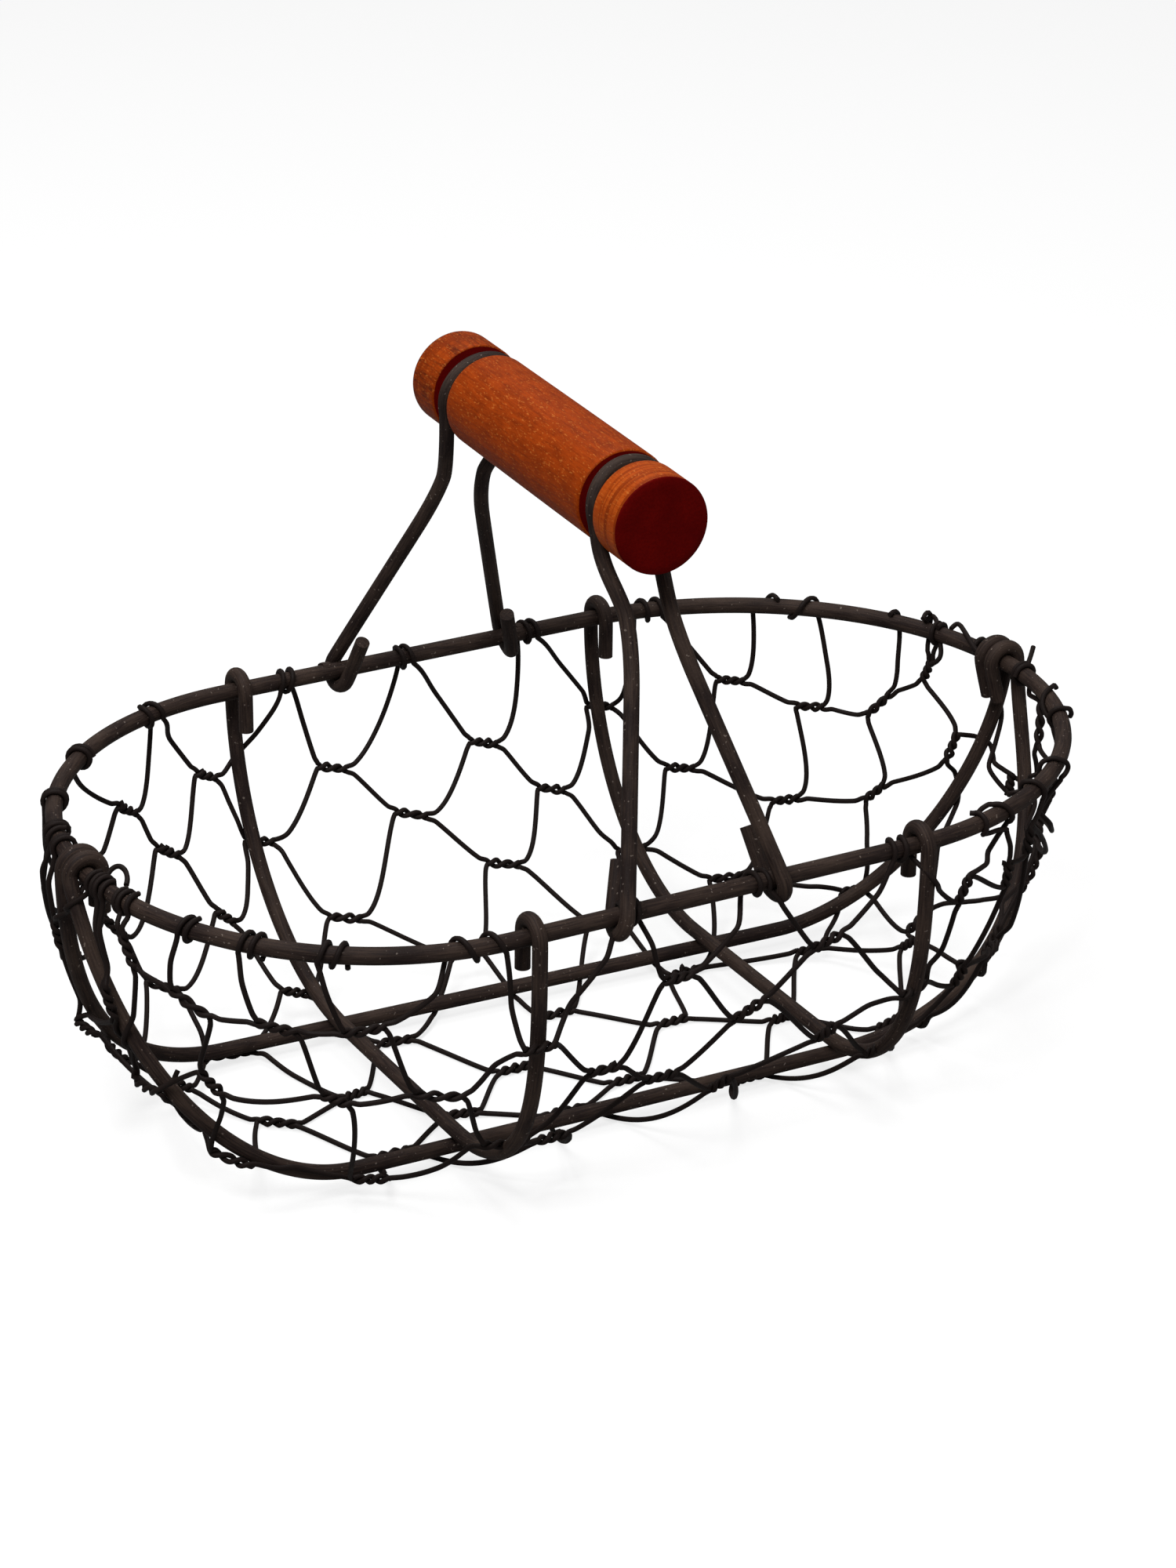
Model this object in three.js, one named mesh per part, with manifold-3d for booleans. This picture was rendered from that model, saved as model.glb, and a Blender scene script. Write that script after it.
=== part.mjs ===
// Wire storage basket with a turned wooden grip.
//
// A wire rim is carried by two cross ribs and two stringers that hook over it and meet under
// the floor. Two bails hook under the rim and close in a loop round the grip, which turns in
// them. Hexagonal netting, woven from thirteen thin wires that are twisted together in pairs,
// is pressed into a bowl round the outside of the frame and lashed to the rim.
//
// Millimetres, +Z up, +X along the basket, +Y towards its back. The origin is the middle of
// the footprint, on the surface that the basket stands on.

import * as THREE from 'three';
import { mergeVertices } from 'three/addons/utils/BufferGeometryUtils.js';
import Module from 'manifold-3d';

// Wire sizes and running gaps
const RIM_WIRE = 4.5;
const FRAME_WIRE = 4;
const NET_WIRE = 1.1;
const GAP = 0.3;

// Rim, from wire centre to wire centre: a straight stretch on each long side, closed by half
// ellipses of unlike depth. Places along the rim are measured from the middle of that stretch.
const RIM_WIDTH = 166.7;
const RIM_STRAIGHT = 112.2;
const LEFT_END = 76.9;
const RIGHT_END = 88.3;

// Cross ribs: their places, their drop, their corners' reach inwards, and how a front corner
// turns in under the floor: over 1, it does so lower down
const RIB_LEFT = -51.3;
const RIB_RIGHT = 60.2;
const RIB_DROP = 73.4;
const LEFT_RIB_CORNER_BACK = 67;
const RIGHT_RIB_CORNER_BACK = 61;
const RIB_CORNER_FRONT = 44;
const LEFT_RIB_TURN_FRONT = 1.7;
const RIGHT_RIB_TURN_FRONT = 1.2;

// Stringers, bent by hand, so that no two corners are alike: the ends of each run under the
// floor, the corners' reach inwards, and the middle of the paired hooks at each end of the rim
const BACK_RUN_LEFT_Y = 30.6;
const BACK_RUN_RIGHT_Y = 23.2;
const FRONT_RUN_LEFT_Y = -44.5;
const FRONT_RUN_RIGHT_Y = -46;
const BACK_CORNER_LEFT = 57.4;
const BACK_CORNER_RIGHT = 63.3;
const FRONT_CORNER_LEFT = 66;
const FRONT_CORNER_RIGHT = 86;
const STRINGER_HOOKS_LEFT_Y = 0.4;
const STRINGER_HOOKS_RIGHT_Y = 6.2;

// How a stringer splays from its hook to its run and turns in under the floor: over 1, it does
// so lower down
const BACK_SPLAY_LEFT = 2;
const BACK_SPLAY_RIGHT = 1.25;
const FRONT_SPLAY_LEFT = 0.95;
const FRONT_SPLAY_RIGHT = 1.64;
const FRONT_TURN_RIGHT = 1.34;

// Hook tails, from the rim's centre
const RIB_TAIL = 10.8;
const STRINGER_TAIL = 12;
const BAIL_TAIL = 13;

// Grip: turned from one dowel, with a groove for each bail
const GRIP_LENGTH = 117.8;
const GRIP_DIAMETER = 25.4;
const GRIP_HEIGHT = 88.6; // axis above the rim
const GRIP_PLACE = 0.3;
const GRIP_ALONG = 1.05; // its middle, towards the back
const GRIP_YAW = 2.4; // degrees from square to the rim
const GROOVE_SPACING = 84.2;
const GROOVE_WIDTH = 8.2;
const GROOVE_DIAMETER = 16.4;
const GRIP_EDGE = 0.9;

// Bails: where each leg hooks under the rim, and below the grip's axis the throat where the
// loop leaves its groove, the neck and the shoulder
const BAIL_BACK_LEFT = -20.6;
const BAIL_BACK_RIGHT = 30.5;
const BAIL_FRONT_LEFT = -26.7;
const BAIL_FRONT_RIGHT = 18.2;
const BAIL_TILT = 9; // degrees, of the loop in its groove
const THROAT_DROP = 12.8;
const THROAT_HALF_WIDTH = 7.5;
const NECK_DROP = 23.6;
const NECK_HALF_WIDTH = 6.8;
const SHOULDER_DROP = 31;
const SHOULDER_BEND = 0.2; // of the leg's length

// Netting: pitch of the twists along a row, rows across the sheet, and one twist's helix
const TWIST_PITCH = 44;
const ROW_PITCH = 20.5;
const FIRST_ROW = 105; // along the sheet, from the floor's centre line towards the back
const EVEN_ROWS_AT = 16;

// The rows are drawn out of true by hand: each one's shift to the back, as a share of the row
// pitch, and to the left, as a share of the twist pitch
const ROW_SHIFTS = [0, 0.17, 0.1, 0.12, -0.2, -0.46, -0.44, -0.56, -0.58, -0.3, 0.07, -0.02];
const ROW_DRIFTS = [0, 0.02, 0.07, 0.09, 0.32, 0.32, 0.25, 0.27, 0.18, 0.18, 0.14, 0.18];
const TWIST_LENGTH = 9.5;
const TWIST_RADIUS = 0.95;
const HAND_WORK = 1.8; // how far a twist strays from the even lattice
const TWIST_TO_RIM = 11; // a twist nearer to the rim is left out

// Bowl: how far its walls lean in from the rim to the floor on each side
const BOWL_BACK = 76;
const BOWL_FRONT = 46;
const BOWL_END = 66;
const BOWL_PROUD = 3.5; // outside the rim's centre line

// Where the netting rides over a frame wire: how far it may be lifted, and how steeply
const RIDE_LIMIT = 12;
const RIDE_SLOPE = 0.6;

// Lashings round the rim
const LASH_PITCH = 1.6;
const LASH_TURNS = 1;
const LASH_END_TURNS = 1.3;
const LASH_START = -60; // degrees, below the rim on its outside
const LASH_TO_HOOK = 6.2;
const LASH_TO_SHEET = 5; // from the rim back to where the sheet's slope begins
const EDGE_MARGIN = 2;
const FRONT_LASH_SHIFT = -5;
const STAND_FLAT = 0.33; // depth of the flats that the netting stands on

// Facets
const WIRE_SIDES = 8;
const RIM_END_STEPS = 26;
const CORNER_STEPS = 9;
const BEND_STEPS = 4;
const NET_SIDES = 3;
const HOOK_STEP = 22.5; // degrees in a hook
const LOOP_STEP = 20; // degrees in a loop
const LASH_STEP = 60; // degrees round the rim
const TWIST_STEPS = 4;
const TWIST_SAMPLES = 4; // in a step, when a way over a frame wire is sought
const NET_SMOOTHNESS = 0.4;
const LEG_MARGIN = 0.1;
const LEG_SAMPLE = 0.75;
const RIDE_STEP = 0.1; // when a way over a frame wire is sought

const rad = THREE.MathUtils.degToRad;
const vec = (x, y, z) => new THREE.Vector3(x, y, z);

// Radii and levels that follow from the sizes above
const rimR = RIM_WIRE / 2;
const frameR = FRAME_WIRE / 2;
const netR = NET_WIRE / 2;
const netFlat = netR * Math.cos(Math.PI / NET_SIDES);
const hookR = (rimR + GAP + frameR) / Math.cos(rad(HOOK_STEP / 2));
const lashR = (rimR + GAP + netR) / Math.cos(rad(LASH_STEP / 2));
const sheetZ = TWIST_RADIUS + netFlat - STAND_FLAT;
const stringerZ = sheetZ + TWIST_RADIUS + netR + GAP + frameR;
const ribZ = stringerZ + FRAME_WIRE + GAP;
const rimZ = ribZ + RIB_DROP;
const gripZ = rimZ + GRIP_HEIGHT;
const rimHalf = RIM_WIDTH / 2;
const rimLength = RIM_STRAIGHT + LEFT_END + RIGHT_END;
const straightMiddle = (LEFT_END - RIGHT_END) / 2;
const straightLeft = straightMiddle - RIM_STRAIGHT / 2;
const straightRight = straightMiddle + RIM_STRAIGHT / 2;

// A wire bent along given points, which are its own steps
class BentWire extends THREE.Curve {
  constructor(points, outward = null) {
    super();
    this.points = points;
    this.outward = outward;
  }

  getPoint(t, target = new THREE.Vector3()) {
    const place = t * (this.points.length - 1);
    const i = Math.min(Math.floor(place), this.points.length - 2);
    return target.lerpVectors(this.points[i], this.points[i + 1], place - i);
  }

  getPointAt(t, target) {
    return this.getPoint(t, target);
  }

  getTangentAt(t, target = new THREE.Vector3()) {
    const last = this.points.length - 1;
    const i = Math.round(t * last);
    const before = this.points[Math.max(i - 1, 0)];
    const here = this.points[i];
    const after = this.points[Math.min(i + 1, last)];
    const into = here.clone().sub(before).normalize();
    return target.copy(after).sub(here).normalize().add(into).normalize();
  }

  // A strand's section keeps one flat side turned to the outside of the bowl
  computeFrenetFrames(steps, closed) {
    if (!this.outward) return super.computeFrenetFrames(steps, closed);
    const tangents = this.points.map((_, i) => this.getTangentAt(i / steps));
    const normals = this.outward.map((out, i) => {
      const along = tangents[i].clone().multiplyScalar(out.dot(tangents[i]));
      return out.clone().sub(along).normalize();
    });
    const binormals = normals.map((normal, i) => tangents[i].clone().cross(normal));
    return { tangents, normals, binormals };
  }
}

function section(radius, sides) {
  const shape = new THREE.Shape();
  for (let i = 0; i < sides; i++) {
    const a = ((i + 0.5) / sides) * 2 * Math.PI;
    if (i === 0) shape.moveTo(radius * Math.cos(a), radius * Math.sin(a));
    else shape.lineTo(radius * Math.cos(a), radius * Math.sin(a));
  }
  return shape;
}

function wire(points, radius, sides, outward) {
  const path = new BentWire(points, outward);
  const settings = { extrudePath: path, steps: points.length - 1, bevelEnabled: false };
  return new THREE.ExtrudeGeometry(section(radius, sides), settings);
}

const material = (color, roughness, metalness) =>
  new THREE.MeshStandardMaterial({ color, roughness, metalness });

const part = new THREE.Group();

function addPiece(name, geometry, finish) {
  const mesh = new THREE.Mesh(geometry, finish);
  mesh.name = name;
  part.add(mesh);
  return mesh;
}

// Rim

function halfWidthAt(x) {
  const past = x < straightLeft ? (straightLeft - x) / LEFT_END : (x - straightRight) / RIGHT_END;
  return rimHalf * Math.sqrt(Math.max(0, 1 - Math.max(0, past) ** 2));
}

function rimPoints() {
  const points = [];
  const arc = (centre, depth, from) => {
    for (let i = 0; i <= RIM_END_STEPS; i++) {
      const a = rad(from + (180 * i) / RIM_END_STEPS);
      points.push(vec(centre + depth * Math.cos(a), rimHalf * Math.sin(a), rimZ));
    }
  };
  arc(straightRight, RIGHT_END, -90);
  arc(straightLeft, LEFT_END, 90);
  return points;
}

class RimLine extends BentWire {
  constructor() {
    const points = rimPoints();
    super([...points, points[0]]);
  }

  getTangentAt(t, target = new THREE.Vector3()) {
    const last = this.points.length - 1;
    const i = Math.round(t * last) % last;
    const before = this.points[(i + last - 1) % last];
    return target.copy(this.points[i + 1]).sub(before).normalize();
  }
}

const rimLine = new RimLine();
const rimSteps = rimLine.points.length - 1;
const rim = new THREE.TubeGeometry(rimLine, rimSteps, rimR, WIRE_SIDES, true);

// Ribs and stringers are worked out in their own upright plane: s outwards, h above the rim's
// centre. A hook rises outside the rim, bends over it and ends in a tail inside.
function hookOver(centre, tail) {
  const points = [[centre - hookR, -tail]];
  for (let a = 180; a >= 0; a -= HOOK_STEP) {
    points.push([centre + hookR * Math.cos(rad(a)), hookR * Math.sin(rad(a))]);
  }
  return points;
}

// A quarter ellipse from just under the rim down to the run under the floor
function corner(centre, reach, drop, turn = 1) {
  const points = [];
  for (let i = 1; i <= CORNER_STEPS; i++) {
    const a = ((i / CORNER_STEPS) * Math.PI) / 2;
    points.push([centre + hookR - reach * (1 - Math.cos(a)) ** turn, -drop * Math.sin(a)]);
  }
  return points;
}

function ribPoints(place, cornerBack, turnFront) {
  const x = straightMiddle + place;
  const edge = halfWidthAt(x);
  const hook = hookOver(edge, RIB_TAIL);
  const back = [...hook, ...corner(edge, cornerBack, RIB_DROP)];
  const front = [...hook, ...corner(edge, RIB_CORNER_FRONT, RIB_DROP, turnFront)];
  return [
    ...back.map(([s, h]) => vec(x, s, rimZ + h)),
    ...front.map(([s, h]) => vec(x, -s, rimZ + h)).reverse(),
  ];
}

// The two stringers' hooks stand side by side at each end of the rim. Side is 1 for the back
// stringer and -1 for the front one, way is -1 for the left end and 1 for the right one.
function stringerHook(side, way) {
  const middle = way < 0 ? STRINGER_HOOKS_LEFT_Y : STRINGER_HOOKS_RIGHT_Y;
  const y = middle + side * (frameR + GAP / 2);
  const past = (way < 0 ? LEFT_END : RIGHT_END) * Math.sqrt(1 - (y / rimHalf) ** 2);
  return vec(way < 0 ? straightLeft - past : straightRight + past, y, rimZ);
}

function stringerEnd(side, way, { runY, reach, splay, turn = 1 }) {
  const drop = rimZ - stringerZ;
  const place = stringerHook(side, way);
  const centre = Math.abs(place.x);
  const hook = hookOver(centre, STRINGER_TAIL).map(([s, h]) => vec(way * s, place.y, rimZ + h));
  const bend = corner(centre, reach, drop, turn).map(([s, h]) => {
    const y = place.y + (runY - place.y) * (-h / drop) ** splay;
    return vec(way * s, y, rimZ + h);
  });
  return [...hook, ...bend];
}

const ribLeft = ribPoints(RIB_LEFT, LEFT_RIB_CORNER_BACK, LEFT_RIB_TURN_FRONT);
const ribRight = ribPoints(RIB_RIGHT, RIGHT_RIB_CORNER_BACK, RIGHT_RIB_TURN_FRONT);
const stringerBack = [
  ...stringerEnd(1, -1, {
    runY: BACK_RUN_LEFT_Y,
    reach: BACK_CORNER_LEFT,
    splay: BACK_SPLAY_LEFT,
  }),
  ...stringerEnd(1, 1, {
    runY: BACK_RUN_RIGHT_Y,
    reach: BACK_CORNER_RIGHT,
    splay: BACK_SPLAY_RIGHT,
  }).reverse(),
];
const stringerFront = [
  ...stringerEnd(-1, -1, {
    runY: FRONT_RUN_LEFT_Y,
    reach: FRONT_CORNER_LEFT,
    splay: FRONT_SPLAY_LEFT,
  }),
  ...stringerEnd(-1, 1, {
    runY: FRONT_RUN_RIGHT_Y,
    reach: FRONT_CORNER_RIGHT,
    splay: FRONT_SPLAY_RIGHT,
    turn: FRONT_TURN_RIGHT,
  }).reverse(),
];

// Bails. Both legs of a bail hook up round the underside of the rim from outside, lean in to
// the neck under the grip and close in a loop that lies in the grip's groove.

const gripX = straightMiddle + GRIP_PLACE;
const gripAxis = vec(Math.sin(rad(GRIP_YAW)), Math.cos(rad(GRIP_YAW)), 0);
const loopR =
  (GROOVE_DIAMETER / 2 + GAP + frameR) / Math.cos(rad(BAIL_TILT)) / Math.cos(rad(LOOP_STEP / 2));

function bailPoints(side, leftPlace, rightPlace) {
  const groove = gripAxis.clone().multiplyScalar(GRIP_ALONG + (side * GROOVE_SPACING) / 2);
  groove.add(vec(gripX, 0, gripZ));
  const rise = vec(0, -side * Math.sin(rad(BAIL_TILT)), Math.cos(rad(BAIL_TILT)));
  const onLoop = (a, b) => groove.clone().add(vec(a, 0, 0)).addScaledVector(rise, b);

  // In the leg's plane, which leans from the throat out to the rim, the foot is where the leg
  // meets its hook
  const leg = (way, place) => {
    const throat = onLoop(way * THROAT_HALF_WIDTH, -THROAT_DROP);
    const rimPoint = vec(straightMiddle + place, side * rimHalf, rimZ);
    const offset = throat.clone().sub(rimPoint).setX(0);
    const lean = Math.atan2(offset.z, side * offset.y) - Math.acos(hookR / offset.length());
    const outward = vec(0, side * Math.cos(lean), Math.sin(lean));
    const upward = vec(0, -side * Math.sin(lean), Math.cos(lean));
    const foot = rimPoint.clone().addScaledVector(outward, hookR);
    const onLeg = (x, z) => foot.clone().addScaledVector(upward, (z - foot.z) / upward.z).setX(x);
    const neck = onLeg(groove.x + way * NECK_HALF_WIDTH, gripZ - NECK_DROP);
    const shoulder = onLeg(groove.x + way * NECK_HALF_WIDTH, gripZ - SHOULDER_DROP);
    const climb = shoulder.clone().sub(foot);
    const along = climb.clone().divideScalar(climb.dot(upward));
    const onHook = (a) =>
      rimPoint
        .clone()
        .addScaledVector(outward, hookR * Math.cos(a))
        .addScaledVector(along, -hookR * Math.sin(a));
    const points = [onHook(Math.PI).addScaledVector(along, BAIL_TAIL)];
    for (let a = 180; a >= 0; a -= HOOK_STEP) points.push(onHook(rad(a)));
    const bend = new THREE.QuadraticBezierCurve3(
      shoulder.clone().addScaledVector(climb, -SHOULDER_BEND),
      shoulder,
      neck,
    );
    return [...points, ...bend.getPoints(BEND_STEPS), throat];
  };

  const loop = [];
  const sweep = Math.asin(THROAT_HALF_WIDTH / loopR);
  const count = Math.ceil((2 * (Math.PI - sweep)) / rad(LOOP_STEP));
  for (let i = 1; i < count; i++) {
    const a = -Math.PI / 2 + sweep + (2 * (Math.PI - sweep) * i) / count;
    loop.push(onLoop(loopR * Math.cos(a), loopR * Math.sin(a)));
  }
  return [...leg(1, rightPlace), ...loop, ...leg(-1, leftPlace).reverse()];
}

const bailBack = bailPoints(1, BAIL_BACK_LEFT, BAIL_BACK_RIGHT);
const bailFront = bailPoints(-1, BAIL_FRONT_LEFT, BAIL_FRONT_RIGHT);

// Grip

function gripGeometry() {
  const end = GRIP_LENGTH / 2;
  const r = GRIP_DIAMETER / 2;
  const grooveR = GROOVE_DIAMETER / 2;
  const near = GROOVE_SPACING / 2 - GROOVE_WIDTH / 2;
  const far = GROOVE_SPACING / 2 + GROOVE_WIDTH / 2;
  const half = [
    [r, near],
    [grooveR, near],
    [grooveR, far],
    [r, far],
    [r, end - GRIP_EDGE],
    [r - GRIP_EDGE, end],
    [0, end],
  ];
  const lower = half.map(([x, y]) => [x, -y]).reverse();
  const profile = [...lower, ...half].map(([x, y]) => new THREE.Vector2(x, y));
  return new THREE.LatheGeometry(profile, 32);
}

// Netting. The sheet is woven flat, with u along the basket and v across it, and pressed into
// the bowl: lengths along a wall's slope stay as they were woven.

const frameWires = [ribLeft, ribRight, stringerBack, stringerFront, bailBack, bailFront];

// The wall's slope in one direction from the floor's centre line
function slope(direction) {
  const c = Math.cos(direction);
  const s = Math.sin(direction);
  const depth = (c > 0 ? RIGHT_END : LEFT_END) + BOWL_PROUD;
  const reach = 1 / Math.hypot(c / depth, s / (rimHalf + BOWL_PROUD));
  const lean = Math.min(reach, BOWL_END * c * c + (s > 0 ? BOWL_BACK : BOWL_FRONT) * s * s);
  const height = rimZ - sheetZ;
  const count = 36;
  const steps = [{ out: reach - lean, z: sheetZ, length: reach - lean }];
  for (let i = 1; i <= count; i++) {
    const a = ((i / count) * Math.PI) / 2;
    const out = reach - lean + lean * Math.sin(a);
    const z = rimZ - height * Math.cos(a);
    const last = steps[steps.length - 1];
    steps.push({ out, z, length: last.length + Math.hypot(out - last.out, z - last.z) });
  }
  return steps;
}

const slopeLength = (direction) => slope(direction).at(-1).length;

function polar(u, v) {
  const base = Math.min(Math.max(u, straightLeft), straightRight);
  const length = Math.hypot(u - base, v);
  const direction = Math.atan2(v, u - base);
  return { base, length, direction };
}

function onBowl(u, v) {
  const { base, length, direction } = polar(u, v);
  const steps = slope(direction);
  let out = length;
  let z = sheetZ;
  if (length > steps[0].length) {
    let i = 1;
    while (i < steps.length - 1 && steps[i].length < length) i++;
    const from = steps[i - 1];
    const to = steps[i];
    const share = Math.min((length - from.length) / (to.length - from.length), 1);
    out = from.out + (to.out - from.out) * share;
    z = from.z + (to.z - from.z) * share;
  }
  return vec(base + out * Math.cos(direction), out * Math.sin(direction), z);
}

function distanceToWire(point, points) {
  const line = new THREE.Line3();
  const nearest = new THREE.Vector3();
  let least = Infinity;
  for (let i = 1; i < points.length; i++) {
    line.set(points[i - 1], points[i]);
    line.closestPointToPoint(point, true, nearest);
    least = Math.min(least, nearest.distanceTo(point));
  }
  return least;
}

// A place on the sheet, the way out of the bowl there, and how far the netting is lifted to
// ride over the outside of a frame wire
function sheet(u, v, thickness) {
  const d = 0.5;
  const alongU = onBowl(u + d, v).sub(onBowl(u - d, v)).normalize();
  const alongV = onBowl(u, v + d).sub(onBowl(u, v - d)).normalize();
  const out = alongV.clone().cross(alongU).normalize();
  const point = onBowl(u, v);
  const clear = frameR + GAP + thickness;
  let lift = 0;
  for (const points of frameWires) {
    if (distanceToWire(point, points) > RIDE_LIMIT + clear) continue;
    let reach = RIDE_LIMIT;
    const at = (height) => distanceToWire(point.clone().addScaledVector(out, height), points);
    while (reach > lift && at(reach) >= clear) reach -= RIDE_STEP;
    if (reach > lift) lift = reach + RIDE_STEP;
  }
  return { point, out, lift, alongV: out.clone().cross(alongU).negate() };
}

// Twists. Rows alternate by half a pitch, and each twist strays a little, as hand work does.
const ROW_COUNT = ROW_SHIFTS.length;
const rowV = (row) => FIRST_ROW - (row - (ROW_SHIFTS[row] ?? 0)) * ROW_PITCH;
const stray = (row, column, seed) =>
  HAND_WORK * Math.sin(seed + 12.9 * row + 7.3 * column * (row + 2));

const rowPhase = (row) =>
  EVEN_ROWS_AT - (ROW_DRIFTS[row] ?? 0) * TWIST_PITCH - (row % 2 === 0 ? 0 : TWIST_PITCH / 2);

function rowTwists(row) {
  const phase = rowPhase(row);
  const twists = [];
  const columns = Math.ceil(rimLength / TWIST_PITCH);
  for (let column = -columns; column <= columns; column++) {
    const u = phase + column * TWIST_PITCH + stray(row, column, 1);
    const v = rowV(row) + 0.6 * stray(row, column, 4);
    const inside = [-1, 1].every((way) => {
      const { length, direction } = polar(u + (way * TWIST_LENGTH) / 2, v);
      return length < slopeLength(direction) - TWIST_TO_RIM;
    });
    if (inside) twists.push({ u, v });
  }
  return twists;
}

const twistRows = Array.from({ length: ROW_COUNT }, (_, row) => rowTwists(row));

// A twist is stiff, so it rides over a frame wire as a whole
function twistPath({ u, v }, turned) {
  const places = [];
  for (let i = 0; i <= TWIST_STEPS * TWIST_SAMPLES; i++) {
    const share = i / (TWIST_STEPS * TWIST_SAMPLES);
    const along = u + (share - 0.5) * TWIST_LENGTH;
    places.push({ ...sheet(along, v, TWIST_RADIUS + netR), share, u: along });
  }
  const lift = Math.max(...places.map((place) => place.lift));
  const steps = places.filter((_, i) => i % TWIST_SAMPLES === 0);
  return steps.map(({ point, out, alongV, share, u: along }) => {
    const a = 2 * Math.PI * share + (turned ? Math.PI : 0);
    point.addScaledVector(alongV, TWIST_RADIUS * Math.cos(a));
    point.addScaledVector(out, TWIST_RADIUS * Math.sin(a) + lift);
    return { point, out, u: along, v: v + TWIST_RADIUS * Math.cos(a), lift };
  });
}

// Lashings

const onSide = (side) => (place) => vec(straightMiddle + place, side * rimHalf, rimZ);
const hookPlaces = [
  ...[RIB_LEFT, RIB_RIGHT, BAIL_BACK_LEFT, BAIL_BACK_RIGHT].map(onSide(1)),
  ...[RIB_LEFT, RIB_RIGHT, BAIL_FRONT_LEFT, BAIL_FRONT_RIGHT].map(onSide(-1)),
  ...[-1, 1].flatMap((way) => [stringerHook(-1, way), stringerHook(1, way)]),
];

// The rim's centre line in one direction from the floor's centre line, and its way outwards
function rimPlace(base, direction) {
  const c = Math.cos(direction);
  const s = Math.sin(direction);
  const depth = c > 0 ? RIGHT_END : LEFT_END;
  const reach = 1 / Math.hypot(c / depth, s / rimHalf);
  const centre = vec(base + reach * c, reach * s, rimZ);
  const outward = vec(c / depth ** 2, s / rimHalf ** 2, 0).normalize();
  return { base, direction, centre, outward };
}

// The direction in which a measure of the sheet's edge reaches a value
function seek(measure, value, from, to) {
  let low = from;
  let high = to;
  for (let i = 0; i < 40; i++) {
    const middle = (low + high) / 2;
    if (measure(middle) > value === measure(low) > value) low = middle;
    else high = middle;
  }
  return (low + high) / 2;
}

const atEdge = (base, direction, inset) => {
  const length = slopeLength(direction) - inset;
  return { u: base + length * Math.cos(direction), v: length * Math.sin(direction) };
};

// Where a strand meets the rim, moved along it until no hook is in the way
function clearOfHooks(base, direction) {
  let place = rimPlace(base, direction);
  const steps = 80;
  for (let i = 0; i < steps; i++) {
    const hook = hookPlaces.find((other) => other.distanceTo(place.centre) < LASH_TO_HOOK);
    if (!hook) break;
    const straight = Math.abs(Math.cos(place.direction)) < 1e-9;
    if (straight) {
      const way = place.centre.x < hook.x ? -1 : 1;
      place = rimPlace(place.base + way * 0.25, place.direction);
    } else {
      const way = place.centre.y < hook.y === Math.cos(place.direction) > 0 ? -1 : 1;
      place = rimPlace(place.base, place.direction + way * 0.004);
    }
  }
  return place;
}

function lashing({ centre, outward }, turns) {
  const along = vec(Math.abs(outward.y), -outward.x * Math.sign(outward.y || 1), 0);
  const points = [];
  const count = Math.round((360 * turns) / LASH_STEP);
  for (let i = 0; i <= count; i++) {
    const turn = (turns * i) / count;
    const a = rad(LASH_START) + 2 * Math.PI * turn;
    const out = outward.clone().multiplyScalar(Math.cos(a)).setZ(Math.sin(a));
    const point = centre.clone().addScaledVector(out, lashR);
    points.push({ point: point.addScaledVector(along, LASH_PITCH * (turn - turns / 2)), out });
  }
  return points;
}

// Lashings of an edge strand, on the alternate row that falls on the rim
function edgeLashings(row) {
  const side = row < 0 ? 1 : -1;
  const shift = row < 0 ? 0 : FRONT_LASH_SHIFT;
  const phase = rowPhase(row) + shift;
  const nextRow = Math.abs(rowV(row + side));
  const places = [];
  const columns = Math.ceil(rimLength / TWIST_PITCH);
  for (let column = -columns; column <= columns; column++) {
    const u = phase + column * TWIST_PITCH;
    const base = Math.min(Math.max(u, straightLeft), straightRight);
    let direction = (side * Math.PI) / 2;
    if (u !== base) {
      const flat = u < base ? side * Math.PI : 0;
      direction = seek((a) => atEdge(base, a, 0).u, u, direction, flat);
    }
    if (Math.abs(atEdge(base, direction, 0).v) > nextRow + EDGE_MARGIN) {
      places.push({ u, lash: clearOfHooks(base, direction) });
    }
  }
  return places;
}

// Where an inner strand ends at the rim
function endLashing(v, way) {
  const base = way < 0 ? straightLeft : straightRight;
  const flat = way < 0 ? Math.sign(v) * Math.PI : 0;
  const direction = seek((a) => atEdge(base, a, 0).v, v, (Math.sign(v) * Math.PI) / 2, flat);
  return { lash: clearOfHooks(base, direction) };
}

// Strands. Each runs from end to end between two rows, twists with its neighbours on either
// side by turns, and is lashed to the rim at both ends.

function thinned(places, tolerance) {
  const first = places[0];
  const last = places[places.length - 1];
  const chord = new THREE.Line3(first.point, last.point);
  const nearest = new THREE.Vector3();
  let worst = 0;
  let far = 0;
  for (let i = 1; i < places.length - 1; i++) {
    chord.closestPointToPoint(places[i].point, true, nearest);
    const off = nearest.distanceTo(places[i].point);
    if (off > far) {
      far = off;
      worst = i;
    }
  }
  if (far < tolerance) return [first, last];
  const before = thinned(places.slice(0, worst + 1), tolerance);
  const after = thinned(places.slice(worst), tolerance);
  return [...before, ...after.slice(1)];
}

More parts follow.
